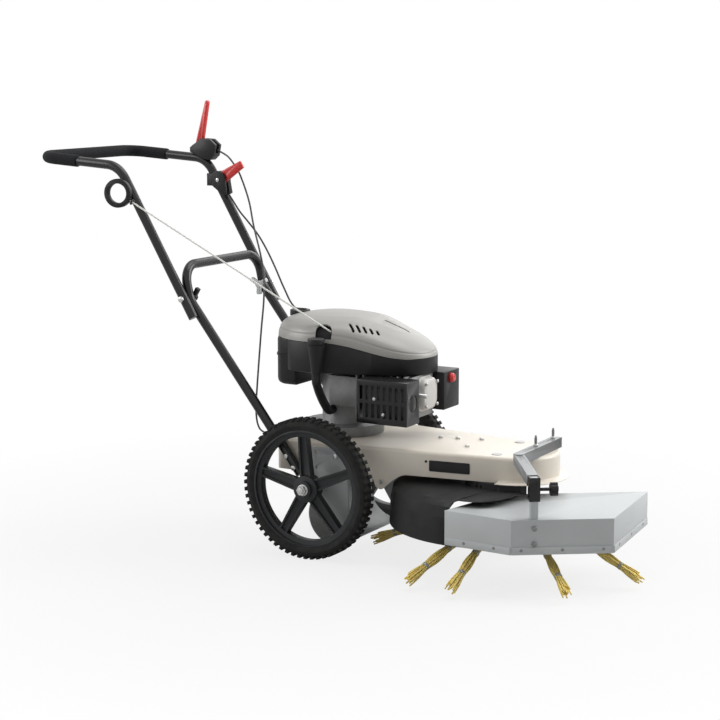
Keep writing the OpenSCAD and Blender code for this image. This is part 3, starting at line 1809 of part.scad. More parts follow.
module starter_rope() {
  color([0.92, 0.92, 0.9])
    tube([for (i = [0 : rope_rings]) mix(guide_at, rope_end, i / rope_rings)], rope_d / 2, cable_sides);
}

module rope_lead() {
  color([0.92, 0.92, 0.9])
    tube([for (i = [0 : 3]) guide_at + pull_dir * (free_gap + (lead_l - 2 * free_gap) * i / 3)],
      rope_d / 2, cable_sides);
}

module starter_grip() {
  ring_x = lead_l + grip_neck + grip_r - grip_ring;
  color([0.05, 0.05, 0.05])
    at_guide()
      rotate([90, 0, 0])
        translate([0, 0, -grip_t / 2])
          linear_extrude(grip_t)
            difference() {
              union() {
                translate([ring_x, 0]) circle(r = grip_r);
                translate([lead_l, -grip_neck / 2]) square([ring_x - lead_l, grip_neck]);
              }
              translate([ring_x, 0]) circle(r = grip_r - grip_ring);
            }
}

// Smooth route through hand-set points, with one point added in each span
function spline(a, b, c, d, t) =
  0.5 * (2 * b + (c - a) * t + (2 * a - 5 * b + 4 * c - d) * t * t + (3 * b - a - 3 * c + d) * t * t * t);
function smooth(p) = [
  for (i = [0 : len(p) - 2])
    each [p[i], spline(p[max(i - 1, 0)], p[i], p[i + 1], p[min(i + 2, len(p) - 1)], 0.5)],
  p[len(p) - 1]
];

clutch_route = [
  [-533, 200, 980], [-500, 197, 966], [-476, 194, 944], [-454, 190, 916], [-423, 184, 849], [-400, 172, 780],
  [-352, 140, 678], [-335, 118, 600], [-330, 95, 510], [-326, 76, 430], [-322, 60, 365],
  [-320, 50, 305], [-310, 44, 262], [-285, 38, 245], [-215, 26, 240],
  [-160, 20, 240], [-125, 20, 240], [-108, 20, 240]
];
throttle_route = [
  [-483, 180, 861], [-470, 184, 840], [-455, 190, 815], [-434, 198, 788], [-406, 205, 752], [-378, 206, 710],
  [-351, 205, 663], [-323, 202, 612], [-290, 197, 566], [-230, 192, 532], [-150, 190, 498], [-40, 190, 440], [60, 172, 410],
  [95, 152, 406], [118, 130, 404], [127, 100, 405], [130, 69, 406]
];

module clutch_cable() {
  color([0.04, 0.04, 0.04])
    tube(smooth(clutch_route), cable_d / 2, cable_sides);
}

module throttle_cable() {
  color([0.04, 0.04, 0.04])
    tube(smooth(throttle_route), cable_d / 2, cable_sides);
}

deck();
deck_bolts();
axle_plate_right();
axle_plate_left();
axle();
axle_nuts();
rear_deflector();
skirt();
spindle_housing();
spindle_bearings();
belt();
guard_arm();
guard_sleeve();
lower_handle();
handle_bolts();
clutch_cable();
throttle_cable();
starter_rope();
engine_block();
valve_cover();
spark_plug();
muffler();
muffler_guard();
air_box();
carburettor();
fuel_tank();
engine_shroud();
engine_cowl();
oil_tube();
rim_right();
tyre_right();
rim_left();
tyre_left();
crankshaft();
flywheel();
drive_pulley();
spindle();
brush_pulley();
brush_disc();
wire_bundles();
idler_arm();
idler_pulley();
guard_hood();
guard_rivets();
guard_post();
height_knob();
upper_handle();
foam_grip();
lever_mount();
throttle_housing();
rope_guide();
clutch_lever();
throttle_lever();
wing_knob_right();
wing_knob_left();
starter_grip();
rope_lead();
fuel_cap();
dipstick();
primer_bulb();
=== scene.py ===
"""Dressed model of a walk-behind power brush sweeper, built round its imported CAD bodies."""

import logging
import math
from dataclasses import dataclass, field
from enum import Enum
from typing import TypeAlias

import bmesh
import bpy
from mathutils import Euler, Matrix, Vector


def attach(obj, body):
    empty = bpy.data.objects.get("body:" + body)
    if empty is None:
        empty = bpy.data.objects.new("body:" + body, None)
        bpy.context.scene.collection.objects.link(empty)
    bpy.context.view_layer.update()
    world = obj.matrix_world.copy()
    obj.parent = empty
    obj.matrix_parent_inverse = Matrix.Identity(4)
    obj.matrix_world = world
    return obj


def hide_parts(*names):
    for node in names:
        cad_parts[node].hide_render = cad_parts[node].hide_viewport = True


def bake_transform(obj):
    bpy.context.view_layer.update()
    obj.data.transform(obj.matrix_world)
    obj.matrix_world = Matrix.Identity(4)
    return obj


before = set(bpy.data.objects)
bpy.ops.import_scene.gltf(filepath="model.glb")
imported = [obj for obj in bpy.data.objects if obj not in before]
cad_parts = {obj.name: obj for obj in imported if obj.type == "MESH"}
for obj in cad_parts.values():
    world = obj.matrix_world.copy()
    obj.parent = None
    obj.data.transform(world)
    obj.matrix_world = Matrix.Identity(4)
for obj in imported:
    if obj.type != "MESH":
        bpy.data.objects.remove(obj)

LOG = logging.getLogger("sweeper")
MM = 0.001
Colour: TypeAlias = tuple[float, float, float]
Point: TypeAlias = tuple[float, float, float]
Spot: TypeAlias = tuple[float, float]
Value: TypeAlias = "float | Sock"


class Pattern(Enum):
    """Surface structure of a finish."""

    PAINT = "paint"
    SPANGLE = "spangle"
    BRUSHED = "brushed"
    CAST = "cast"
    MOULDED = "moulded"
    RUBBER = "rubber"
    FOAM = "foam"
    BRAID = "braid"
    WIRE = "wire"


class Sock:
    """A shader socket whose arithmetic adds Math nodes."""

    def __init__(self, shader: "Shader", socket: bpy.types.NodeSocket) -> None:
        """Keep the socket and the shader that it belongs to."""
        self.shader = shader
        self.socket = socket

    def math(self, operation: str, other: Value = 0.0) -> "Sock":
        """Add a Math node whose first value is this one."""
        return self.shader.node("ShaderNodeMath", {"operation": operation}, {0: self, 1: other})

    def __add__(self, other: Value) -> "Sock":
        """Sum of two values."""
        return self.math("ADD", other)

    __radd__ = __add__

    def __mul__(self, other: Value) -> "Sock":
        """Product of two values."""
        return self.math("MULTIPLY", other)

    __rmul__ = __mul__

    def __sub__(self, other: Value) -> "Sock":
        """Difference of two values."""
        return self.math("SUBTRACT", other)

    def __rsub__(self, other: Value) -> "Sock":
        """Difference with this value taken away."""
        return self.shader.node("ShaderNodeMath", {"operation": "SUBTRACT"}, {0: other, 1: self})

    def ramp(self, low: float, high: float) -> "Sock":
        """Map a range of this value to 0 to 1, clamped.

        Args:
            low: Value that becomes 0.
            high: Value that becomes 1.

        Returns:
            The mapped value.
        """
        span = {"Value": self, "From Min": low, "From Max": high}
        return self.shader.node("ShaderNodeMapRange", {"data_type": "FLOAT", "clamp": True}, span)


class Shader:
    """Node tree of one material."""

    def __init__(self, name: str) -> None:
        """Make an empty material with a principled shader.

        Args:
            name: Name of the material.
        """
        self.material = bpy.data.materials.new(name)
        self.material.use_nodes = True
        self.tree = self.material.node_tree
        self.tree.nodes.clear()
        self.surface = self.tree.nodes.new("ShaderNodeBsdfPrincipled")
        self.out = self.tree.nodes.new("ShaderNodeOutputMaterial")
        self.tree.links.new(self.surface.outputs[0], self.out.inputs["Surface"])

    def put(self, target: bpy.types.NodeSocket, value: object) -> None:
        """Set or link one input.

        Args:
            target: Input socket.
            value: A number, a tuple or a Sock.
        """
        if isinstance(value, Sock):
            self.tree.links.new(value.socket, target)
        else:
            target.default_value = value

    def node(self, kind: str, settings: dict, inputs: dict, out: "int | str" = 0) -> Sock:
        """Add any node.

        Args:
            kind: Node type.
            settings: Properties that are set before the sockets.
            inputs: Values or links by socket name or number.
            out: Output that is returned.

        Returns:
            The chosen output.
        """
        made = self.tree.nodes.new(kind)
        for key, value in settings.items():
            setattr(made, key, value)
        for key, value in inputs.items():
            self.put(made.inputs[key], value)
        return Sock(self, made.outputs[out])

    def coords(self, scale: Point = (1.0, 1.0, 1.0), uv: bool = False) -> Sock:
        """Object or UV coordinates, scaled.

        Args:
            scale: Scale of each axis.
            uv: True for the piece's own UV map.

        Returns:
            The coordinates.
        """
        where = self.node("ShaderNodeTexCoord", {}, {}, "UV" if uv else "Object")
        return self.node("ShaderNodeMapping", {}, {"Vector": where, "Scale": scale})

    def noise(self, where: Sock, scale: float, detail: float = 3.0, rough: float = 0.55) -> Sock:
        """Noise of about 0 to 1 at a stated scale."""
        return self.node(
            "ShaderNodeTexNoise", {}, {"Vector": where, "Scale": scale, "Detail": detail, "Roughness": rough}
        )

    def cells(self, where: Sock, scale: float, feature: str, out: str) -> Sock:
        """Voronoi cells at a stated scale."""
        return self.node("ShaderNodeTexVoronoi", {"feature": feature}, {"Vector": where, "Scale": scale}, out)

    def blend(self, factor: Value, a: object, b: object) -> Sock:
        """Mix two colours.

        Args:
            factor: Share of the second colour.
            a: First colour.
            b: Second colour.

        Returns:
            The mixed colour.
        """
        return self.node("ShaderNodeMix", {"data_type": "RGBA"}, {0: factor, 6: a, 7: b}, 2)

    def bump(self, height: Sock, depth: float, strength: float = 1.0) -> None:
        """Feed a height into the shader's normal.

        Args:
            height: Height of about 0 to 1.
            depth: Depth in metres.
            strength: Strength of the bump.
        """
        made = self.node("ShaderNodeBump", {}, {"Height": height, "Distance": depth, "Strength": strength})
        self.put(self.surface.inputs["Normal"], made)


@dataclass(frozen=True)
class Finish:
    """One finish of the machine. Its depth of surface structure is in metres."""

    name: str
    pattern: Pattern
    colour: Colour
    rough: float = 0.5
    metal: float = 0.0
    coat: float = 0.0
    coat_rough: float = 0.12
    shade: float = 0.85
    depth: float = 0.0002
    gloss: float = 0.5

    def tone(self, factor: float) -> "tuple[float, float, float, float]":
        """The finish's colour, darker or lighter by a factor."""
        return tuple(min(1.0, c * factor) for c in self.colour) + (1.0,)

    def build(self) -> bpy.types.Material:
        """Make the material.

        Returns:
            The finished material.
        """
        shader = Shader(self.name)
        shader.surface.inputs["Metallic"].default_value = self.metal
        shader.surface.inputs["Coat Weight"].default_value = self.coat
        shader.surface.inputs["Coat Roughness"].default_value = self.coat_rough
        shader.surface.inputs["Specular IOR Level"].default_value = self.gloss
        structures = {
            Pattern.PAINT: self._paint, Pattern.SPANGLE: self._spangle, Pattern.BRUSHED: self._brushed,
            Pattern.CAST: self._cast, Pattern.MOULDED: self._moulded, Pattern.RUBBER: self._rubber,
            Pattern.FOAM: self._foam, Pattern.BRAID: self._braid, Pattern.WIRE: self._wire,
        }
        structures[self.pattern](shader)
        shader.material.diffuse_color = self.tone(1.0)
        return shader.material

    def _mottle(self, shader: Shader, mask: Sock, rough_swing: float) -> None:
        """Vary colour and roughness by a mask.

        Args:
            shader: Shader to feed.
            mask: Mask of 0 to 1.
            rough_swing: Change of roughness over the mask.
        """
        tone = shader.blend(mask, self.tone(self.shade), self.tone(1.0))
        shader.put(shader.surface.inputs["Base Color"], tone)
        shader.put(shader.surface.inputs["Roughness"], mask * rough_swing + (self.rough - rough_swing / 2))

    def _paint(self, shader: Shader) -> None:
        """Sprayed paint with a faint orange peel and a little dust.

        Args:
            shader: Shader to feed.
        """
        where = shader.coords()
        dust = shader.noise(where, scale=9.0, detail=6.0).ramp(0.3, 0.72)
        self._mottle(shader, dust, rough_swing=0.12)
        shader.bump(shader.noise(where, scale=420.0, detail=2.0), self.depth, strength=0.25)

    def _spangle(self, shader: Shader) -> None:
        """Zinc with soft crystals of slightly different greys.

        Args:
            shader: Shader to feed.
        """
        where = shader.coords()
        drift = shader.node("ShaderNodeTexNoise", {}, {"Vector": where, "Scale": 60.0}, "Color")
        bent = shader.node("ShaderNodeVectorMath", {"operation": "ADD"}, {0: where, 1: drift})
        crystals = shader.cells(bent, scale=55.0, feature="F1", out="Color")
        grey = shader.node("ShaderNodeRGBToBW", {}, {"Color": crystals})
        stain = shader.noise(where, scale=7.0, detail=5.0).ramp(0.35, 0.75)
        self._mottle(shader, grey * 0.45 + stain * 0.55, rough_swing=0.16)
        shader.bump(grey, self.depth, strength=0.15)

    def _brushed(self, shader: Shader) -> None:
        """Plated steel with fine scratches along its length.

        Args:
            shader: Shader to feed.
        """
        where = shader.coords(scale=(1.0, 1.0, 9.0))
        streak = shader.noise(where, scale=190.0, detail=4.0)
        self._mottle(shader, streak.ramp(0.25, 0.75), rough_swing=0.18)
        shader.bump(streak, self.depth, strength=0.2)

    def _cast(self, shader: Shader) -> None:
        """Cast metal with a sandy skin and darker patches of grime at random.

        Args:
            shader: Shader to feed.
        """
        where = shader.coords()
        sand = shader.noise(where, scale=700.0, detail=3.0)
        grime = shader.noise(where, scale=24.0, detail=6.0).ramp(0.3, 0.7)
        self._mottle(shader, grime, rough_swing=0.15)
        shader.bump(sand, self.depth, strength=0.5)

    def _moulded(self, shader: Shader) -> None:
        """Moulded plastic with a fine leather-like grain.

        Args:
            shader: Shader to feed.
        """
        where = shader.coords()
        grain = shader.cells(where, scale=900.0, feature="SMOOTH_F1", out="Distance")
        wear = shader.noise(where, scale=14.0, detail=5.0).ramp(0.3, 0.75)
        self._mottle(shader, wear, rough_swing=0.14)
        shader.bump(grain, self.depth, strength=0.3)

    def _rubber(self, shader: Shader) -> None:
        """Rubber with a dry bloom in patches.

        Args:
            shader: Shader to feed.
        """
        where = shader.coords()
        bloom = shader.noise(where, scale=38.0, detail=7.0).ramp(0.35, 0.7)
        self._mottle(shader, bloom, rough_swing=0.12)
        shader.bump(shader.noise(where, scale=520.0, detail=3.0), self.depth, strength=0.5)

    def _foam(self, shader: Shader) -> None:
        """Closed-cell foam with small pores.

        Args:
            shader: Shader to feed.
        """
        pores = shader.cells(shader.coords(), scale=780.0, feature="F1", out="Distance")
        self._mottle(shader, pores.ramp(0.1, 0.6), rough_swing=0.06)
        shader.bump(pores, self.depth, strength=0.7)

    def _braid(self, shader: Shader) -> None:
        """Braided cord, its strands crossing in the piece's UV map.

        Args:
            shader: Shader to feed.
        """
        where = shader.coords(uv=True)
        along, around = (shader.node("ShaderNodeSeparateXYZ", {}, {0: where}, axis) for axis in ("X", "Y"))
        run, turn = along * (2 * math.pi), around * (8 * math.pi)
        lay = (run + turn).math("SINE") * (run - turn).math("SINE") * 0.5 + 0.5
        self._mottle(shader, lay, rough_swing=0.1)
        shader.bump(lay, self.depth, strength=0.8)

    def _wire(self, shader: Shader) -> None:
        """Coated wire whose strands differ in tone along their length.

        Args:
            shader: Shader to feed.
        """
        where = shader.coords()
        tone = shader.noise(where, scale=120.0, detail=4.0).ramp(0.32, 0.68)
        self._mottle(shader, tone, rough_swing=0.15)
        shader.bump(shader.noise(where, scale=900.0, detail=2.0), self.depth, strength=0.3)


CREAM = Finish("cream_paint", Pattern.PAINT, (0.75, 0.69, 0.6), 0.4, coat=0.08, shade=0.93, depth=0.0001)
VALVE = Finish("valve_cover_paint", Pattern.PAINT, (0.6, 0.59, 0.56), 0.4, coat=0.1, shade=0.88, depth=0.0001)
BLACK_PAINT = Finish(
    "black_gloss_paint", Pattern.PAINT, (0.008, 0.008, 0.0085), 0.3,
    coat=0.2, shade=1.6, depth=0.00008, gloss=0.25,
)
ZINC = Finish(
    "zinc_sheet", Pattern.SPANGLE, (0.52, 0.54, 0.545), 0.48,
    metal=0.1, shade=0.86, depth=0.00006, gloss=0.2,
)
ARM_GREY = Finish(
    "grey_arm_paint", Pattern.PAINT, (0.25, 0.26, 0.265), 0.4,
    metal=0.2, shade=0.86, depth=0.0001,
)
STEEL = Finish(
    "plated_steel", Pattern.BRUSHED, (0.62, 0.62, 0.61), 0.32,
    metal=0.9, shade=0.72, depth=0.00005,
)
ALLOY = Finish("cast_alloy", Pattern.CAST, (0.27, 0.272, 0.27), 0.5, metal=0.45, shade=0.6, depth=0.0004)
IRON = Finish("cast_iron", Pattern.CAST, (0.07, 0.07, 0.072), 0.6, metal=0.5, shade=0.6, depth=0.0004)
COWL = Finish(
    "cowl_silver", Pattern.MOULDED, (0.33, 0.322, 0.304), 0.44,
    metal=0.15, coat=0.05, shade=0.92, depth=0.00005, gloss=0.35,
)
BLACK_PLASTIC = Finish(
    "black_plastic", Pattern.MOULDED, (0.009, 0.009, 0.0095), 0.45,
    shade=1.7, depth=0.0001, gloss=0.25,
)
SKIRT = Finish(
    "skirt_plastic", Pattern.MOULDED, (0.008, 0.008, 0.0085), 0.62,
    shade=1.7, depth=0.0002, gloss=0.25,
)
RIM = Finish(
    "rim_plastic", Pattern.MOULDED, (0.02, 0.0215, 0.0235), 0.45,
    shade=0.75, depth=0.0001, gloss=0.3,
)
TYRE = Finish("tyre_rubber", Pattern.RUBBER, (0.013, 0.0125, 0.012), 0.78, shade=1.5, depth=0.0003, gloss=0.2)
FOAM = Finish("foam", Pattern.FOAM, (0.012, 0.0125, 0.014), 0.85, shade=0.6, depth=0.0005, gloss=0.2)
RED = Finish("red_plastic", Pattern.MOULDED, (0.62, 0.022, 0.018), 0.34, coat=0.2, shade=0.9, depth=0.00006)
WIRE = Finish("brush_wire", Pattern.WIRE, (0.98, 0.78, 0.24), 0.42, shade=0.76, depth=0.0001)
ROPE = Finish("starter_rope", Pattern.BRAID, (0.82, 0.82, 0.78), 0.8, shade=0.95, depth=0.00012)
CABLE = Finish("cable_sheath", Pattern.MOULDED, (0.018, 0.018, 0.019), 0.4, shade=1.4, depth=0.00005)
GREY_PLASTIC = Finish("grey_plastic", Pattern.MOULDED, (0.55, 0.56, 0.56), 0.45, shade=0.88, depth=0.0001)
TAPE = Finish("bundle_tape", Pattern.PAINT, (0.36, 0.37, 0.36), 0.3, coat=0.2, shade=0.8, depth=0.0002)
# Near-black finish of the lining inside the cowl: the black blower housing, and painted shade that makes the
# cowl's openings read dark. The cutters also take it, and they are removed.
HOUSING_AND_SHADE = Finish("housing_and_painted_shade", Pattern.CAST, (0.006, 0.006, 0.006), 0.9, shade=0.7, depth=0.0001)


class Paintbox:
    """Builds each finish once and hands out its material."""

    def __init__(self) -> None:
        """Start with no materials."""
        self.made: "dict[str, bpy.types.Material]" = {}

    def get(self, finish: Finish) -> bpy.types.Material:
        """Material of a finish, made when it is first asked for.

        Args:
            finish: The finish.

        Returns:
            Its material.
        """
        if finish.name not in self.made:
            self.made[finish.name] = finish.build()
        return self.made[finish.name]


def bend(a: Vector, b: Vector, c: Vector, radius: float, steps: int) -> "list[Vector]":
    """Points of a round bend at the corner b between a and c.

    Args:
        a: Point before the corner.
        b: The corner.
        c: Point after the corner.
        radius: Radius of the bend.
        steps: Number of steps round the bend.

    Returns:
        The bend's points.
    """
    u, w = (a - b).normalized(), (c - b).normalized()
    half = u.angle(w) / 2
    centre = b + (u + w).normalized() * (radius / math.sin(half))
    start = b + u * (radius / math.tan(half)) - centre
    end = b + w * (radius / math.tan(half)) - centre
    side = (end - start * (end.dot(start) / start.length_squared)).normalized()
    sweep = math.pi - 2 * half
    return [
        centre + start * math.cos(sweep * i / steps) + side * radius * math.sin(sweep * i / steps)
        for i in range(steps + 1)
    ]


def smooth_route(points: "list[Point]", steps: int) -> "list[Vector]":
    """Smooth curve through given points.

    Args:
        points: Points of the route.
        steps: Steps in each span.

    Returns:
        Points of the curve.
    """
    p = [Vector(q) for q in points]
    out: "list[Vector]" = []
    for i in range(len(p) - 1):
        a, b, c, d = p[max(i - 1, 0)], p[i], p[i + 1], p[min(i + 2, len(p) - 1)]
        for k in range(steps):
            t = k / steps
            slope, curve, twist = c - a, 2 * a - 5 * b + 4 * c - d, 3 * b - a - 3 * c + d
            out.append(0.5 * (2 * b + slope * t + curve * t * t + twist * t**3))
    return out + [p[-1]]


def straight(a: "Vector | Point", b: "Vector | Point", steps: int) -> "list[Vector]":
    """Evenly spaced points from a to b."""
    return [Vector(a).lerp(Vector(b), i / steps) for i in range(steps + 1)]


@dataclass
class Workshop:
    """Shared tools that make meshes, dress them and set them on their bodies. Angles are in degrees."""

    paints: Paintbox = field(default_factory=Paintbox)
    weld: float = 0.00002
    flat_angle: float = 0.6
    ease_angle: float = 32.0
    ease_steps: int = 2
    sideways: float = 0.9
    uv_radii: float = 4.0
    tube_sharp: float = 50.0

    def mesh(
        self, name: str, verts: "list[Point]", faces: "list[list[int]]", finish: Finish, sharp: float = 35.0
    ) -> bpy.types.Object:
        """Make an object from points in millimetres.

        Args:
            name: Name of the piece.
            verts: Points in millimetres.
            faces: Faces as lists of point numbers.
            finish: Finish of the piece.
            sharp: Angle in degrees above which an edge stays sharp.

        Returns:
            The new object.
        """
        data = bpy.data.meshes.new(name)
        data.from_pydata([tuple(Vector(v) * MM) for v in verts], [], faces)
        return self.finish_mesh(name, data, finish, sharp)

    def finish_mesh(self, name: str, data: bpy.types.Mesh, finish: Finish, sharp: float) -> bpy.types.Object:
        """Link a mesh as an object with smooth shading and one finish.

        Args:
            name: Name of the piece.
            data: Mesh in metres.
            finish: Finish of the piece.
            sharp: Angle in degrees above which an edge stays sharp.

        Returns:
            The new object.
        """
        data.materials.clear()
        data.materials.append(self.paints.get(finish))
        data.polygons.foreach_set("use_smooth", [True] * len(data.polygons))
        data.polygons.foreach_set("material_index", [0] * len(data.polygons))
        data.set_sharp_from_angle(angle=math.radians(sharp))
        data.update()
        made = bpy.data.objects.new(name, data)
        bpy.context.scene.collection.objects.link(made)
        return made

    def settle(self, made: bpy.types.Object, sharp: float = 35.0) -> bpy.types.Object:
        """Apply an object's modifiers.

        Args:
            made: Object with modifiers.
            sharp: Angle in degrees above which an edge stays sharp.

        Returns:
            The same object with a plain mesh.
        """
        ready = made.evaluated_get(bpy.context.evaluated_depsgraph_get())
        data = bpy.data.meshes.new_from_object(ready)
        made.modifiers.clear()
        made.data = data
        data.polygons.foreach_set("use_smooth", [True] * len(data.polygons))
        data.set_sharp_from_angle(angle=math.radians(sharp))
        data.update()
        return made

    def put(self, made: bpy.types.Object, body: str, slot: str, *nodes: str) -> bpy.types.Object:
        """Let a piece ride on a body.

        Args:
            made: The piece.
            body: Body that it moves with.
            slot: Name of a material slot, not used.
            nodes: CAD nodes that it stands for.

        Returns:
            The piece.
        """
        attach(made, body)
        if nodes:
            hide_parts(*nodes)
        LOG.info("%s rides on %s", made.name, body)
        return made

    def dress(self, node: str, finish: Finish) -> None:
        """Give a CAD node a finish and leave its shape.

        Args:
            node: CAD node.
            finish: Finish of the node.
        """
        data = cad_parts[node].data
        data.materials.clear()
        data.materials.append(self.paints.get(finish))

    def eased(
        self, node: str, finish: Finish, slot: str, width: float, body: str = "chassis"
    ) -> bpy.types.Object:
        """Stand in for a CAD node with a copy whose edges are eased.

        Args:
            node: CAD node.
            finish: Finish of the copy.
            slot: Name of a material slot, handed on to put.
            width: Width of the eased edges in millimetres.
            body: Body of the node.

        Returns:
            The copy.
        """
        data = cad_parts[node].data.copy()
        work = bmesh.new()
        work.from_mesh(data)
        bmesh.ops.remove_doubles(work, verts=work.verts, dist=self.weld)
        bmesh.ops.dissolve_limit(
            work,
            angle_limit=math.radians(self.flat_angle),
            use_dissolve_boundaries=False,
            verts=work.verts,
            edges=work.edges,
        )
        work.to_mesh(data)
        work.free()
        made = self.finish_mesh("dressed_" + node, data, finish, self.ease_angle)
        ease = made.modifiers.new("ease", "BEVEL")
        ease.width = width * MM
        ease.segments = self.ease_steps
        ease.limit_method = "ANGLE"
        ease.angle_limit = math.radians(self.ease_angle)
        ease.use_clamp_overlap = True
        return self.put(self.settle(made, self.ease_angle), body, slot, node)

    def walled(self, made: bpy.types.Object, thickness: float, sharp: float = 35.0) -> bpy.types.Object:
        """Give a skin a wall on its inner side.

        Args:
            made: The skin.
            thickness: Thickness of the wall in millimetres.
            sharp: Angle in degrees above which an edge stays sharp.

        Returns:
            The same object with its wall.
        """
        wall = made.modifiers.new("wall", "SOLIDIFY")
        wall.thickness = thickness * MM
        wall.offset = -1.0
        return self.settle(made, sharp)

    def tube(
        self, name: str, route: "list[Vector]", radius: "float | list[float]", finish: Finish, sides: int = 28
    ) -> bpy.types.Object:
        """Smooth tube along a route, with a UV map along and round it.

        Args:
            name: Name of the piece.
            route: Points of the route in millimetres.
            radius: Radius in millimetres, or one for each point.
            finish: Finish of the tube.
            sides: Sides of the tube.

        Returns:
            The tube.
        """
        count = len(route)
        radii = radius if isinstance(radius, list) else [radius] * count
        heads = [(route[min(i + 1, count - 1)] - route[max(i - 1, 0)]).normalized() for i in range(count)]
        side = Vector((0, 1, 0)) if abs(heads[0].y) < self.sideways else Vector((0, 0, 1))
        turns = [2 * math.pi * j / sides for j in range(sides)]
        work = bmesh.new()
        uv = work.loops.layers.uv.new("along")
        rings, lengths, total = [], [], 0.0
        for i, (p, t) in enumerate(zip(route, heads)):
            side = (side - t * side.dot(t)).normalized()
            over = t.cross(side)
            total += (p - route[i - 1]).length if i else 0.0
            lengths.append(total)
            spots = [(p + (side * math.cos(a) + over * math.sin(a)) * radii[i]) * MM for a in turns]
            rings.append([work.verts.new(spot) for spot in spots])
        for i in range(count - 1):
            for j in range(sides):
                k = (j + 1) % sides
                face = work.faces.new((rings[i][j], rings[i][k], rings[i + 1][k], rings[i + 1][j]))
                corners = ((i, j), (i, j + 1), (i + 1, j + 1), (i + 1, j))
                for loop, (row, col) in zip(face.loops, corners):
                    loop[uv].uv = (lengths[row] / (self.uv_radii * radii[row]), col / sides)
        work.faces.new(list(reversed(rings[0])))
        work.faces.new(rings[-1])
        data = bpy.data.meshes.new(name)
        work.to_mesh(data)
        work.free()
        return self.finish_mesh(name, data, finish, self.tube_sharp)

    def loft(
        self, name: str, rings: "list[list[Point]]", finish: Finish, foot: bool = True, head: bool = True
    ) -> bpy.types.Object:
        """Skin through rings of points that all have the same count.

        Args:
            name: Name of the piece.
            rings: Rings of points in millimetres, from the foot up.
            finish: Finish of the skin.
            foot: True to close the first ring.
            head: True to close the last ring.

        Returns:
            The skin.
        """
        n = len(rings[0])
        faces: "list[list[int]]" = []
        for i in range(len(rings) - 1):
            for j in range(n):
                k = (j + 1) % n
                faces.append([i * n + j, i * n + k, (i + 1) * n + k, (i + 1) * n + j])
        if foot:
            faces.append(list(range(n - 1, -1, -1)))
        if head:
            faces.append([(len(rings) - 1) * n + j for j in range(n)])
        return self.mesh(name, [p for ring in rings for p in ring], faces, finish)


def between(a: Spot, b: Spot, steps: int) -> "list[Spot]":
    """Evenly spaced points from a to b, without either end."""
    return [(a[0] + (b[0] - a[0]) * i / steps, a[1] + (b[1] - a[1]) * i / steps) for i in range(1, steps)]


def arc(x: float, r: float, start: float, sweep: float, steps: int) -> "list[Spot]":
    """Points of an arc in plan, its centre on the machine's middle line."""
    turns = (start + sweep * i / steps for i in range(steps + 1))
    return [(x + r * math.cos(a), r * math.sin(a)) for a in turns]


def tangent_outline(x1: float, r1: float, x2: float, r2: float, steps: int) -> "list[Spot]":
    """Plan of two round ends joined by their tangents, anticlockwise.

    Args:
        x1: Place of the rear end.
        r1: Radius of the rear end.
        x2: Place of the front end.
        r2: Radius of the front end.
        steps: Steps round each end and along each side.

    Returns:
        Points of the plan.
    """
    lean = math.acos((r1 - r2) / (x2 - x1))
    rear = arc(x1, r1, lean, 2 * math.pi - 2 * lean, steps)
    front = arc(x2, r2, -lean, 2 * lean, steps)
    return rear + between(rear[-1], front[0], steps) + front + between(front[-1], rear[0], steps)


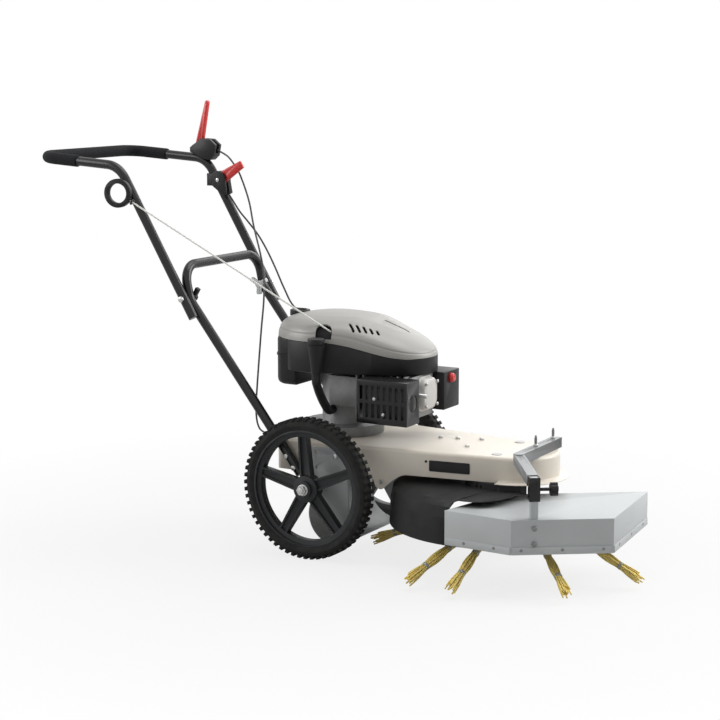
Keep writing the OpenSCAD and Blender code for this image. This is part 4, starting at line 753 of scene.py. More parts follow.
class Nodes:
    """A Geometry Nodes tree with named inputs."""

    def __init__(self, name: str, inputs: "dict[str, tuple[str, object]]") -> None:
        """Make the tree and its interface.

        Args:
            name: Name of the tree.
            inputs: Socket type and default value of each input.
        """
        self.tree = bpy.data.node_groups.new(name, "GeometryNodeTree")
        self.tree.interface.new_socket("Geometry", in_out="INPUT", socket_type="NodeSocketGeometry")
        self.tree.interface.new_socket("Geometry", in_out="OUTPUT", socket_type="NodeSocketGeometry")
        self.names: "dict[str, str]" = {}
        for key, (kind, value) in inputs.items():
            made = self.tree.interface.new_socket(key, in_out="INPUT", socket_type=kind)
            if value is not None:
                made.default_value = value
            self.names[key] = made.identifier
        self.start = self.tree.nodes.new("NodeGroupInput")
        self.end = self.tree.nodes.new("NodeGroupOutput")

    def given(self, key: str) -> bpy.types.NodeSocket:
        """Output socket of one of the tree's inputs."""
        return self.start.outputs[key]

    def node(self, kind: str, settings: dict, inputs: dict, out: "int | str" = 0) -> bpy.types.NodeSocket:
        """Add a node.

        Args:
            kind: Node type.
            settings: Properties of the node.
            inputs: Values or sockets by input name or number.
            out: Output that is returned.

        Returns:
            The chosen output socket.
        """
        made = self.tree.nodes.new(kind)
        for key, value in settings.items():
            setattr(made, key, value)
        for key, value in inputs.items():
            if isinstance(value, bpy.types.NodeSocket):
                self.tree.links.new(value, made.inputs[key])
            else:
                made.inputs[key].default_value = value
        return made.outputs[out]

    def math(self, operation: str, a: object, b: object = 0.0) -> bpy.types.NodeSocket:
        """Add a Math node and return its result."""
        return self.node("ShaderNodeMath", {"operation": operation}, {0: a, 1: b})

    def vector(self, operation: str, a: object, b: object) -> bpy.types.NodeSocket:
        """Add a Vector Math node and return its result."""
        return self.node("ShaderNodeVectorMath", {"operation": operation}, {0: a, 1: b})

    def scaled(self, vector: bpy.types.NodeSocket, factor: object) -> bpy.types.NodeSocket:
        """A vector times a number."""
        return self.node("ShaderNodeVectorMath", {"operation": "SCALE"}, {0: vector, "Scale": factor})

    def xyz(self, x: object = 0.0, y: object = 0.0, z: object = 0.0) -> bpy.types.NodeSocket:
        """A vector of three values."""
        return self.node("ShaderNodeCombineXYZ", {}, {0: x, 1: y, 2: z})

    def close(self, shape: bpy.types.NodeSocket) -> None:
        """Give the shape the tree's material and join it to the output.

        Args:
            shape: Geometry that the tree makes.
        """
        dressed = {"Geometry": shape, "Material": self.given("Material")}
        done = self.node("GeometryNodeSetMaterial", {}, dressed)
        self.tree.links.new(done, self.end.inputs["Geometry"])

    def run(
        self, name: str, values: "dict[str, object]", points: "bpy.types.Mesh | None" = None
    ) -> bpy.types.Mesh:
        """Evaluate the tree once.

        Args:
            name: Name of the mesh.
            values: Values of the named inputs.
            points: Mesh that is fed in, or None for an empty one.

        Returns:
            The plain mesh.
        """
        made = bpy.data.objects.new(name, points or bpy.data.meshes.new(name))
        bpy.context.scene.collection.objects.link(made)
        work = made.modifiers.new("nodes", "NODES")
        work.node_group = self.tree
        for key, value in values.items():
            work[self.names[key]] = value
        data = bpy.data.meshes.new_from_object(made.evaluated_get(bpy.context.evaluated_depsgraph_get()))
        made.modifiers.clear()
        bpy.data.objects.remove(made)
        return data


class StrandTree(Nodes):
    """A bundle of springy wires that fans out along its own Z axis."""

    GOLDEN_TURN = 2.399963
    SHORTEST_SHARE = 0.93
    CUT_SEED = 7
    WIRE_SIDES = 6
    WIRE_ROWS = 24
    WAVE_SCALE = 26.0
    WAVE_SEED = 3.7
    BOW_DEPTH = 0.002
    BOW_END_SHARE = 1.25
    TIE_SHARES = (0.55, 0.8)
    TIE_WIDTH_SHARE = 0.075
    TIE_DRAW_SHARE = 0.28

    def __init__(self) -> None:
        """Build the tree."""
        super().__init__(
            "strands",
            {
                "Count": ("NodeSocketInt", 120),
                "Root": ("NodeSocketFloat", 0.01),
                "Tip": ("NodeSocketFloat", 0.022),
                "Length": ("NodeSocketFloat", 0.3),
                "Wire": ("NodeSocketFloat", 0.001),
                "Stray": ("NodeSocketFloat", 0.006),
                "Seed": ("NodeSocketInt", 0),
                "Material": ("NodeSocketMaterial", None),
            },
        )
        root, aim = self.fan()
        points = self.node("GeometryNodePoints", {}, {"Count": self.given("Count"), "Position": root})
        many = self.node(
            "GeometryNodeInstanceOnPoints",
            {},
            {"Points": points, "Instance": self.wire(), "Rotation": aim, "Scale": self.cut()},
        )
        solid = self.node("GeometryNodeRealizeInstances", {}, {"Geometry": many})
        self.close(self.node("GeometryNodeSetPosition", {}, {"Geometry": solid, "Offset": self.sway()}))

    def fan(self) -> "tuple[bpy.types.NodeSocket, bpy.types.NodeSocket]":
        """Spread the wires evenly over the bundle.

        Returns:
            Place of each wire's root, and the turn that points it outwards.
        """
        index = self.node("GeometryNodeInputIndex", {}, {})
        turn = self.math("MULTIPLY", index, self.GOLDEN_TURN)
        reach = self.math("SQRT", self.math("DIVIDE", self.math("ADD", index, 0.5), self.given("Count")))
        flat = self.xyz(
            self.math("MULTIPLY", reach, self.math("COSINE", turn)),
            self.math("MULTIPLY", reach, self.math("SINE", turn)),
        )
        stray = self.node(
            "FunctionNodeRandomValue",
            {"data_type": "FLOAT_VECTOR"},
            {0: (-1.0, -1.0, 0.0), 1: (1.0, 1.0, 0.0), "Seed": self.given("Seed")},
        )
        root = self.scaled(flat, self.given("Root"))
        stray = self.scaled(stray, self.given("Stray"))
        tip = self.vector("ADD", self.scaled(flat, self.given("Tip")), stray)
        tip = self.vector("ADD", tip, self.xyz(z=self.given("Length")))
        lean = self.vector("SUBTRACT", tip, root)
        return root, self.node("FunctionNodeAlignRotationToVector", {"axis": "Z"}, {"Vector": lean})

    def cut(self) -> bpy.types.NodeSocket:
        """Scale of each wire, which makes some of them a little shorter.

        Returns:
            The scale.
        """
        seed = self.math("ADD", self.given("Seed"), self.CUT_SEED)
        span = {2: self.SHORTEST_SHARE, 3: 1.0, "Seed": seed}
        return self.xyz(1.0, 1.0, self.node("FunctionNodeRandomValue", {"data_type": "FLOAT"}, span, 1))

    def wire(self) -> bpy.types.NodeSocket:
        """One straight wire that stands on its root.

        Returns:
            The wire.
        """
        length = self.given("Length")
        sizes = {"Vertices": self.WIRE_SIDES, "Side Segments": self.WIRE_ROWS, "Radius": self.given("Wire"),
                 "Depth": length}
        wire = self.node("GeometryNodeMeshCylinder", {"fill_type": "NGON"}, sizes)
        half = self.xyz(z=self.math("MULTIPLY", length, 0.5))
        return self.node("GeometryNodeTransform", {}, {"Geometry": wire, "Translation": half})

    def sway(self) -> bpy.types.NodeSocket:
        """Shift of each point: waves along the wires, and waists where the ties sit.

        Returns:
            The shift.
        """
        place = self.node("GeometryNodeInputPosition", {}, {})
        out = self.node("ShaderNodeSeparateXYZ", {}, {0: place}, "Z")
        high = self.math("DIVIDE", out, self.given("Length"))
        seed = self.math("MULTIPLY", self.given("Seed"), self.WAVE_SEED)
        grain = {"Vector": place, "W": seed, "Scale": self.WAVE_SCALE, "Detail": 1.0}
        wave = self.node("ShaderNodeTexNoise", {"noise_dimensions": "4D"}, grain, 1)
        wave = self.vector("SUBTRACT", wave, (0.5, 0.5, 0.5))
        bow = self.math("MULTIPLY", high, self.math("SUBTRACT", self.BOW_END_SHARE, high))
        wave = self.scaled(wave, self.math("MULTIPLY", bow, self.BOW_DEPTH))
        bells = self.math("ADD", *(self.bell(high, share) for share in self.TIE_SHARES))
        flat = self.vector("MULTIPLY", place, (1.0, 1.0, 0.0))
        waist = self.scaled(flat, self.math("MULTIPLY", bells, -self.TIE_DRAW_SHARE))
        return self.vector("ADD", wave, waist)

    def bell(self, high: bpy.types.NodeSocket, middle: float) -> bpy.types.NodeSocket:
        """Bell of 0 to 1 along the bundle, where a tie draws the wires in.

        Args:
            high: Share of the length.
            middle: Share at which the tie sits.

        Returns:
            The bell's value.
        """
        away = self.math("DIVIDE", self.math("SUBTRACT", high, middle), self.TIE_WIDTH_SHARE)
        return self.math("EXPONENT", self.math("MULTIPLY", self.math("MULTIPLY", away, away), -1.0))


class StudTree(Nodes):
    """Domed screw heads on points, each turned to the point's own axis."""

    DOME_TOP_SHARE = 0.62
    DOME_FOOT_SHARE = 0.93
    DOME_HEIGHT_SHARE = 0.45
    DOME_LIFT_SHARE = 0.505

    def __init__(self) -> None:
        """Build the tree."""
        super().__init__(
            "studs",
            {
                "Radius": ("NodeSocketFloat", 0.004),
                "Height": ("NodeSocketFloat", 0.0025),
                "Sides": ("NodeSocketInt", 18),
                "Material": ("NodeSocketMaterial", None),
            },
        )
        radius, tall, sides = self.given("Radius"), self.given("Height"), self.given("Sides")
        base = self.node(
            "GeometryNodeMeshCylinder",
            {"fill_type": "NGON"},
            {"Vertices": sides, "Radius": radius, "Depth": tall},
        )
        dome = self.node(
            "GeometryNodeMeshCone",
            {"fill_type": "NGON"},
            {"Vertices": sides, "Side Segments": 1,
             "Radius Top": self.math("MULTIPLY", radius, self.DOME_TOP_SHARE),
             "Radius Bottom": self.math("MULTIPLY", radius, self.DOME_FOOT_SHARE),
             "Depth": self.math("MULTIPLY", tall, self.DOME_HEIGHT_SHARE)},
        )
        lift = self.xyz(z=self.math("MULTIPLY", tall, self.DOME_LIFT_SHARE))
        dome = self.node("GeometryNodeTransform", {}, {"Geometry": dome, "Translation": lift})
        join = self.tree.nodes.new("GeometryNodeJoinGeometry")
        self.tree.links.new(base, join.inputs[0])
        self.tree.links.new(dome, join.inputs[0])
        axis = self.node("GeometryNodeInputNamedAttribute", {"data_type": "FLOAT_VECTOR"}, {"Name": "axis"})
        aim = self.node("FunctionNodeAlignRotationToVector", {"axis": "Z"}, {"Vector": axis})
        points = self.node("GeometryNodeMeshToPoints", {}, {"Mesh": self.given("Geometry")})
        heads = {"Points": points, "Instance": join.outputs[0], "Rotation": aim}
        many = self.node("GeometryNodeInstanceOnPoints", {}, heads)
        self.close(self.node("GeometryNodeRealizeInstances", {}, {"Geometry": many}))


@dataclass
class Studs:
    """Small fixings that repeat, made by one tree."""

    shop: Workshop
    tree: StudTree = field(default_factory=StudTree)
    sharp: float = 40.0

    def add(
        self,
        name: str,
        spots: "list[tuple[Point, Point]]",
        radius: float,
        height: float,
        finish: Finish,
        sides: int = 18,
    ) -> bpy.types.Object:
        """Make one object of studs.

        Args:
            name: Name of the piece.
            spots: Place in millimetres and axis of each stud.
            radius: Radius in millimetres.
            height: Height in millimetres.
            finish: Finish of the studs.
            sides: Sides of each stud.

        Returns:
            The studs.
        """
        data = bpy.data.meshes.new(name + "_points")
        data.from_pydata([tuple(Vector(p) * MM) for p, _ in spots], [], [])
        axis = data.attributes.new("axis", "FLOAT_VECTOR", "POINT")
        for i, (_, a) in enumerate(spots):
            axis.data[i].vector = Vector(a).normalized()
        paint = self.shop.paints.get(finish)
        values = {"Radius": radius * MM, "Height": height * MM, "Sides": sides, "Material": paint}
        return self.shop.finish_mesh(name, self.tree.run(name, values, data), finish, self.sharp)


@dataclass
class Assembly:
    """One sub-assembly of the machine."""

    shop: Workshop
    studs: Studs

    def build(self) -> None:
        """Make every piece of the sub-assembly."""
        raise NotImplementedError


@dataclass
class Wheels(Assembly):
    """The two road wheels with their tyres and rims."""

    tyre_ease: float = 0.8
    rim_ease: float = 1.2

    def build(self) -> None:
        """Dress both wheels."""
        for side in ("right", "left"):
            body = "wheel_" + side
            self.shop.eased("tyre_" + side, TYRE, "tyre_rubber", self.tyre_ease, body)
            self.shop.eased("rim_" + side, RIM, "rim_plastic", self.rim_ease, body)


@dataclass
class Deck(Assembly):
    """The pressed sheet deck with its plugs and plate."""

    # Pressed sheet
    top: float = 285.0
    sheet: float = 2.5
    half: float = 162.0
    tail: float = -125.0
    shoulder: float = 60.0
    nose: float = 468.0
    nose_r: float = 106.0
    edge_r: float = 9.0
    edge_steps: int = 6
    foot_front: float = 222.0
    foot_rear: float = 206.0
    ear_x: float = 171.0
    ear_r: float = 21.0
    ear_z: float = 201.0
    ear_flat: float = 2.0
    ear_end: float = 238.0
    # Its outline
    corner: float = 16.0
    least_corner: float = 1.0
    corner_steps: int = 6
    side_steps: int = 9
    turn_steps: int = 4
    wall_steps: int = 60
    nose_steps: int = 40
    tail_steps: int = 8
    wall_shares: "tuple[float, ...]" = (0.0, 0.35, 0.7, 1.0)
    sharp: float = 40.0
    # Flange round the nose
    flange_r: float = 128.0
    flange_steps: int = 60
    lip: float = 1.0
    lip_top: Spot = (0.8, 0.6)
    fillet: float = 5.0
    fillet_mid: float = 1.5
    # Plugs in the top
    plugs: "tuple[Spot, ...]" = ((439, 82), (450, -76))
    plug_lift: float = 0.6
    plug_r: float = 13.0
    plug_h: float = 1.6
    plug_sides: int = 32
    # Plate on the near wall: rows of its height off the wall and inset
    plate_run: float = 266.0
    plate_lift: float = 0.1
    plate_half: float = 52.0
    plate_low: float = 237.0
    plate_high: float = 264.0
    plate_ease: float = 2.0
    plate_rows: "tuple[Spot, ...]" = ((0.0, 0.0), (0.9, 0.0), (1.2, 0.5))
    # Plug beside the plate: place along the wall and height
    wall_plug: Spot = (206.0, 260.5)
    wall_plug_lift: float = 0.8
    wall_plug_r: float = 3.2
    wall_plug_h: float = 1.4

    def lean(self) -> float:
        """Angle from the machine's axis to the outward side of the walls that run in to the nose."""
        return math.acos((self.half - self.nose_r) / (self.nose - self.shoulder))

    def foot(self, x: float) -> float:
        """Height of the wall's lower edge at a distance along the deck.

        Args:
            x: Distance along the machine.

        Returns:
            The height.
        """
        low, past = self.ear_z - self.ear_r, self.ear_x + self.ear_flat
        if x < self.ear_x - self.ear_r:
            return self.foot_rear
        if x < past:
            reach = min(abs(x - self.ear_x), self.ear_r)
            return min(self.foot_rear, self.ear_z - math.sqrt(self.ear_r**2 - reach**2))
        if x < self.ear_end:
            share = (x - past) / (self.ear_end - past)
            return low + (self.foot_front - low) * math.sin(share * math.pi / 2)
        return self.foot_front

    def plan(self, inset: float) -> "list[Spot]":
        """Outline of the deck, anticlockwise from the tail's right corner.

        Args:
            inset: Distance inside the deck's outer face.

        Returns:
            Points of the outline.
        """
        half, tail, nose_r, lean = self.half - inset, self.tail + inset, self.nose_r - inset, self.lean()
        corner = max(self.corner - inset, self.least_corner)
        quarter = [math.pi * (1 + 0.5 * i / self.corner_steps) for i in range(self.corner_steps + 1)]
        x, y, run = tail + corner, -half + corner, self.shoulder - tail - corner
        right = [(x + corner * math.cos(a), y + corner * math.sin(a)) for a in quarter]
        right += [(x + run * i / self.side_steps, -half) for i in range(1, self.side_steps + 1)]
        right += arc(self.shoulder, half, -math.pi / 2, math.pi / 2 - lean, self.turn_steps)[1:]
        touch = Vector((self.nose + nose_r * math.cos(lean), -nose_r * math.sin(lean)))
        right += [tuple(p) for p in straight(right[-1], touch, self.wall_steps)[1:-1]]
        left = [(x, -y) for x, y in reversed(right)]
        rear = between((tail, half - corner), (tail, corner - half), self.tail_steps)
        return right + arc(self.nose, nose_r, -lean, 2 * lean, self.nose_steps) + left + rear

    def shell(self) -> bpy.types.Object:
        """The sheet with its rounded top edge.

        Returns:
            The sheet.
        """
        rings: "list[list[Point]]" = []
        outer, brim = self.plan(0.0), self.top - self.edge_r
        for share in self.wall_shares:
            rings.append([(x, y, self.foot(x) + (brim - self.foot(x)) * share) for x, y in outer])
        for i in range(1, self.edge_steps + 1):
            a = math.pi / 2 * i / self.edge_steps
            inset = self.edge_r * (1 - math.cos(a))
            height = brim + self.edge_r * math.sin(a)
            rings.append([(x, y, height) for x, y in self.plan(inset)])
        made = self.shop.loft("dressed_deck", rings, CREAM, foot=False)
        return self.shop.walled(made, self.sheet, self.sharp)

    def flange(self) -> bpy.types.Object:
        """The rim that turns out round the nose.

        Returns:
            The rim.
        """
        inner, nose, outer = self.nose_r - self.sheet, self.nose_r, self.flange_r
        low, high = self.foot_front, self.foot_front + self.sheet
        profile = [
            (inner, low), (outer - self.lip, low), (outer, low + self.lip), (outer, high - self.lip_top[1]),
            (outer - self.lip_top[0], high), (nose + self.fillet, high),
            (nose + self.fillet_mid, high + self.fillet_mid), (nose, high + self.fillet),
            (inner, high + self.fillet),
        ]
        verts: "list[Point]" = []
        steps, n = self.flange_steps, len(profile)
        for i in range(steps + 1):
            a = math.pi * (i / steps - 0.5)
            verts += [(self.nose + r * math.cos(a), r * math.sin(a), z) for r, z in profile]
        faces = [
            [i * n + j, (i + 1) * n + j, (i + 1) * n + (j + 1) % n, i * n + (j + 1) % n]
            for i in range(steps)
            for j in range(n)
        ]
        faces += [list(range(n)), [steps * n + j for j in range(n - 1, -1, -1)]]
        return self.shop.mesh("deck_flange", verts, faces, CREAM, self.sharp)

    def build(self) -> None:
        """Make the deck and what is fixed on it."""
        shop = self.shop
        shop.put(self.shell(), "chassis", "cream_paint", "deck")
        shop.put(self.flange(), "chassis", "cream_paint", "deck")
        spots = [((x, y, self.top + self.plug_lift), (0, 0, 1)) for x, y in self.plugs]
        plugs = self.studs.add("deck_plugs", spots, self.plug_r, self.plug_h, GREY_PLASTIC, self.plug_sides)
        shop.put(plugs, "chassis", "grey_plastic")
        self.name_plate()

    def name_plate(self) -> None:
        """The bare black plate on the near wall, and the small plug beside it."""
        lean = self.lean()
        out = Vector((math.cos(lean), -math.sin(lean), 0))
        along = Vector((-out.y, out.x, 0))
        wall = Vector((self.shoulder, 0, 0)) + out * self.half
        middle = wall + along * self.plate_run + out * self.plate_lift
        wide, low, high, ease = self.plate_half, self.plate_low, self.plate_high, self.plate_ease
        rim = [(-wide + ease, low), (wide - ease, low), (wide, low + ease), (wide, high - ease),
               (wide - ease, high), (-wide + ease, high), (-wide, high - ease), (-wide, low + ease)]
        rings = []
        for depth, inset in self.plate_rows:
            rings.append([
                tuple(middle + along * (u - math.copysign(inset, u)) + out * depth + Vector((0, 0, z)))
                for u, z in rim
            ])
        self.shop.put(self.shop.loft("name_plate", rings, BLACK_PLASTIC), "chassis", "black_plastic")
        run, height = self.wall_plug
        spot = wall + along * run + out * self.wall_plug_lift + Vector((0, 0, height))
        spots = [(tuple(spot), tuple(out))]
        plug = self.studs.add("wall_plug", spots, self.wall_plug_r, self.wall_plug_h, BLACK_PLASTIC)
        self.shop.put(plug, "chassis", "black_plastic")


@dataclass
class Brush(Assembly):
    """The turning disc with its bundles of wire."""

    nose: float = 468.0
    # Bundles: angle of each, and reach and height of root and tip
    turns: "tuple[float, ...]" = (70, 106, 145, 190, 252, 271, 313, 347)
    root: Spot = (67.5, 146.0)
    tip: Spot = (374.1, 24.6)
    strands: int = 24
    quick_strands: int = 16
    # Wires, in metres
    root_r: float = 0.0078
    tip_r: float = 0.0128
    wire_r: float = 0.0019
    stray: float = 0.0016
    first_seed: int = 3
    # Ties, in metres
    tie_r: float = 0.0088
    tie_wide: float = 0.008
    tie_depth: float = 0.002
    tie_bulge: float = 0.0008
    tie_edge_share: float = 0.2
    tie_sides: int = 26
    sharp: float = 40.0

    def place(self, turn: float) -> Matrix:
        """Frame of a bundle: its Z axis runs out along the wires.

        Args:
            turn: Angle round the brush in degrees.

        Returns:
            The frame in metres.
        """
        a = math.radians(turn)
        out = Vector((math.cos(a), math.sin(a), 0))
        start = Vector((self.nose, 0, 0)) + out * self.root[0] + Vector((0, 0, self.root[1]))
        end = Vector((self.nose, 0, 0)) + out * self.tip[0] + Vector((0, 0, self.tip[1]))
        z = (end - start).normalized()
        x = Vector((0, 0, 1)).cross(z).normalized()
        y = z.cross(x)
        turned = Matrix((x, y, z)).transposed().to_4x4()
        return Matrix.Translation(start * MM) @ turned

    def build(self) -> None:
        """Make the bundles, their ties and the hub's parts."""
        shop = self.shop
        tree = StrandTree()
        length = math.hypot(self.tip[0] - self.root[0], self.tip[1] - self.root[1]) * MM
        count = self.strands
        parts = bmesh.new()
        bands = bmesh.new()
        for i, turn in enumerate(self.turns):
            values = {"Count": count, "Root": self.root_r, "Tip": self.tip_r, "Length": length,
                      "Wire": self.wire_r, "Stray": self.stray, "Seed": i + self.first_seed,
                      "Material": shop.paints.get(WIRE)}
            data = tree.run("strands", values)
            data.transform(self.place(turn))
            parts.from_mesh(data)
            bpy.data.meshes.remove(data)
            for share in StrandTree.TIE_SHARES:
                self.tie(bands, turn, length * share - self.tie_wide / 2)
        for name, work, finish, slot, nodes in (
            ("wire_strands", parts, WIRE, "brush_wire", ["wire_bundles"]),
            ("bundle_ties", bands, TAPE, "galvanised", []),
        ):
            data = bpy.data.meshes.new(name)
            work.to_mesh(data)
            work.free()
            shop.put(shop.finish_mesh(name, data, finish, self.sharp), "brush", slot, *nodes)
        shop.eased("brush_disc", STEEL, "steel", 0.8, "brush")
        shop.eased("brush_pulley", IRON, "cast_iron", 0.5, "brush")
        shop.dress("spindle", STEEL)

    def tie(self, work: bmesh.types.BMesh, turn: float, away: float) -> None:
        """Add a band round a bundle.

        Args:
            work: Mesh that the band is added to.
            turn: Angle of the bundle in degrees.
            away: Distance from the bundle's root.
        """
        where = self.place(turn)
        inner, outer, bulge = self.tie_r - self.tie_depth, self.tie_r, self.tie_r + self.tie_bulge
        wide, edge, sides = self.tie_wide, self.tie_edge_share, self.tie_sides
        profile = [(inner, 0), (outer, 0), (bulge, wide * edge), (bulge, wide * (1 - edge)), (outer, wide),
                   (inner, wide)]
        rings = []
        for r, z in profile:
            ring = []
            for j in range(sides):
                a = 2 * math.pi * j / sides
                ring.append(work.verts.new(where @ Vector((r * math.cos(a), r * math.sin(a), away + z))))
            rings.append(ring)
        for k in range(len(profile)):
            low, high = rings[k], rings[(k + 1) % len(profile)]
            for j in range(sides):
                work.faces.new((low[j], low[(j + 1) % sides], high[(j + 1) % sides], high[j]))


@dataclass
class Guard(Assembly):
    """The sheet hood beside the brush with its post, sleeve and arm."""

    # Hood's plan, turned about its own first corner
    origin: Spot = (592.0, -299.0)
    turn: float = 34.3
    plan: "tuple[Spot, ...]" = ((0, 0), (240, 0), (380, 256), (15, 256), (-139, 108))
    low: float = 105.0
    # Hems: distance out and height of the profile's foot and head
    hem: float = 18.0
    hem_sides: "tuple[int, ...]" = (4, 0, 1)
    hem_short: float = 2.0
    hem_foot: "tuple[Spot, ...]" = ((-1.4, 0.0), (1.2, 0.0), (1.8, 1.2))
    hem_head: "tuple[Spot, ...]" = ((1.8, -1.0), (1.2, 0.0), (-0.2, 0.0))
    # Studs on the arm
    arm_studs: "tuple[Point, ...]" = ((541, -52, 323), (541, 52, 323))
    stud_r: float = 3.4
    stud_h: float = 14.0
    stud_sides: int = 16

    def corner(self, i: int) -> Vector:
        """One corner of the hood's plan in the machine's frame.

        Args:
            i: Number of the corner.

        Returns:
            The corner on the ground.
        """
        u, v = self.plan[i % len(self.plan)]
        a = math.radians(self.turn)
        return Vector((self.origin[0] + u * math.cos(a) - v * math.sin(a),
                       self.origin[1] + u * math.sin(a) + v * math.cos(a), 0))

    def hems(self) -> bpy.types.Object:
        """Folded strips along the lower edge of the outer panels.

        Returns:
            The strips.
        """
        verts: "list[Point]" = []
        faces: "list[list[int]]" = []
        profile = list(self.hem_foot) + [(d, self.hem + z) for d, z in self.hem_head]
        n = len(profile)
        for side in self.hem_sides:
            a, b = self.corner(side), self.corner(side + 1)
            along = (b - a).normalized()
            out = Vector((along.y, -along.x, 0))
            k = len(verts)
            for end in (a + along * self.hem_short, b - along * self.hem_short):
                verts += [tuple(end + out * d + Vector((0, 0, self.low + z))) for d, z in profile]
            faces += [[k + j, k + (j + 1) % n, k + n + (j + 1) % n, k + n + j] for j in range(n)]
            faces += [[k + j for j in range(n - 1, -1, -1)], [k + n + j for j in range(n)]]
        return self.shop.mesh("hood_hems", verts, faces, ZINC)

    def build(self) -> None:
        """Dress the hood and what carries it."""
        shop = self.shop
        shop.eased("guard_hood", ZINC, "galvanised", 1.0, "guard")
        shop.put(self.hems(), "guard", "galvanised")
        shop.eased("guard_rivets", ALLOY, "steel", 0.4, "guard")
        shop.eased("guard_post", ZINC, "galvanised", 0.8, "guard")
        spots = [(place, (0, 0, 1)) for place in self.arm_studs]
        studs = self.studs.add("arm_studs", spots, self.stud_r, self.stud_h, ALLOY, self.stud_sides)
        shop.put(studs, "chassis", "steel")
        shop.eased("guard_sleeve", BLACK_PAINT, "black_paint", 1.0)
        shop.eased("guard_arm", ARM_GREY, "galvanised", 2.2)
        shop.eased("height_knob", BLACK_PLASTIC, "black_plastic", 1.0, "height_knob")


@dataclass
class Chassis(Assembly):
    """Plates, skirt, drive and other parts under the deck."""

    def build(self) -> None:
        """Dress the parts that carry the wheels and the brush."""
        shop = self.shop
        for node, finish, slot, width in (
            ("deck_bolts", STEEL, "steel", 0.5),
            ("axle_plate_right", ZINC, "galvanised", 0.5),
            ("axle_plate_left", ZINC, "galvanised", 0.5),
            ("axle", STEEL, "steel", 0.5),
            ("axle_nuts", STEEL, "steel", 0.5),
            ("rear_deflector", ZINC, "galvanised", 0.5),
            ("skirt", SKIRT, "black_plastic", 1.0),
            ("spindle_housing", ALLOY, "cast_alloy", 0.8),
            ("handle_bolts", STEEL, "steel", 0.5),
        ):
            shop.eased(node, finish, slot, width)
        for node, finish in (
            ("spindle_bearings", STEEL), ("belt", TYRE), ("crankshaft", STEEL), ("flywheel", IRON),
            ("drive_pulley", IRON), ("idler_arm", STEEL), ("idler_pulley", BLACK_PLASTIC),
        ):
            shop.dress(node, finish)


@dataclass(frozen=True)
class Opening:
    """A standing opening with round ends: its middle, half its length and width, and its ends in height."""

    middle: "Point | Vector"
    along: "Point | Vector"
    across: "Point | Vector"
    low: float
    high: float


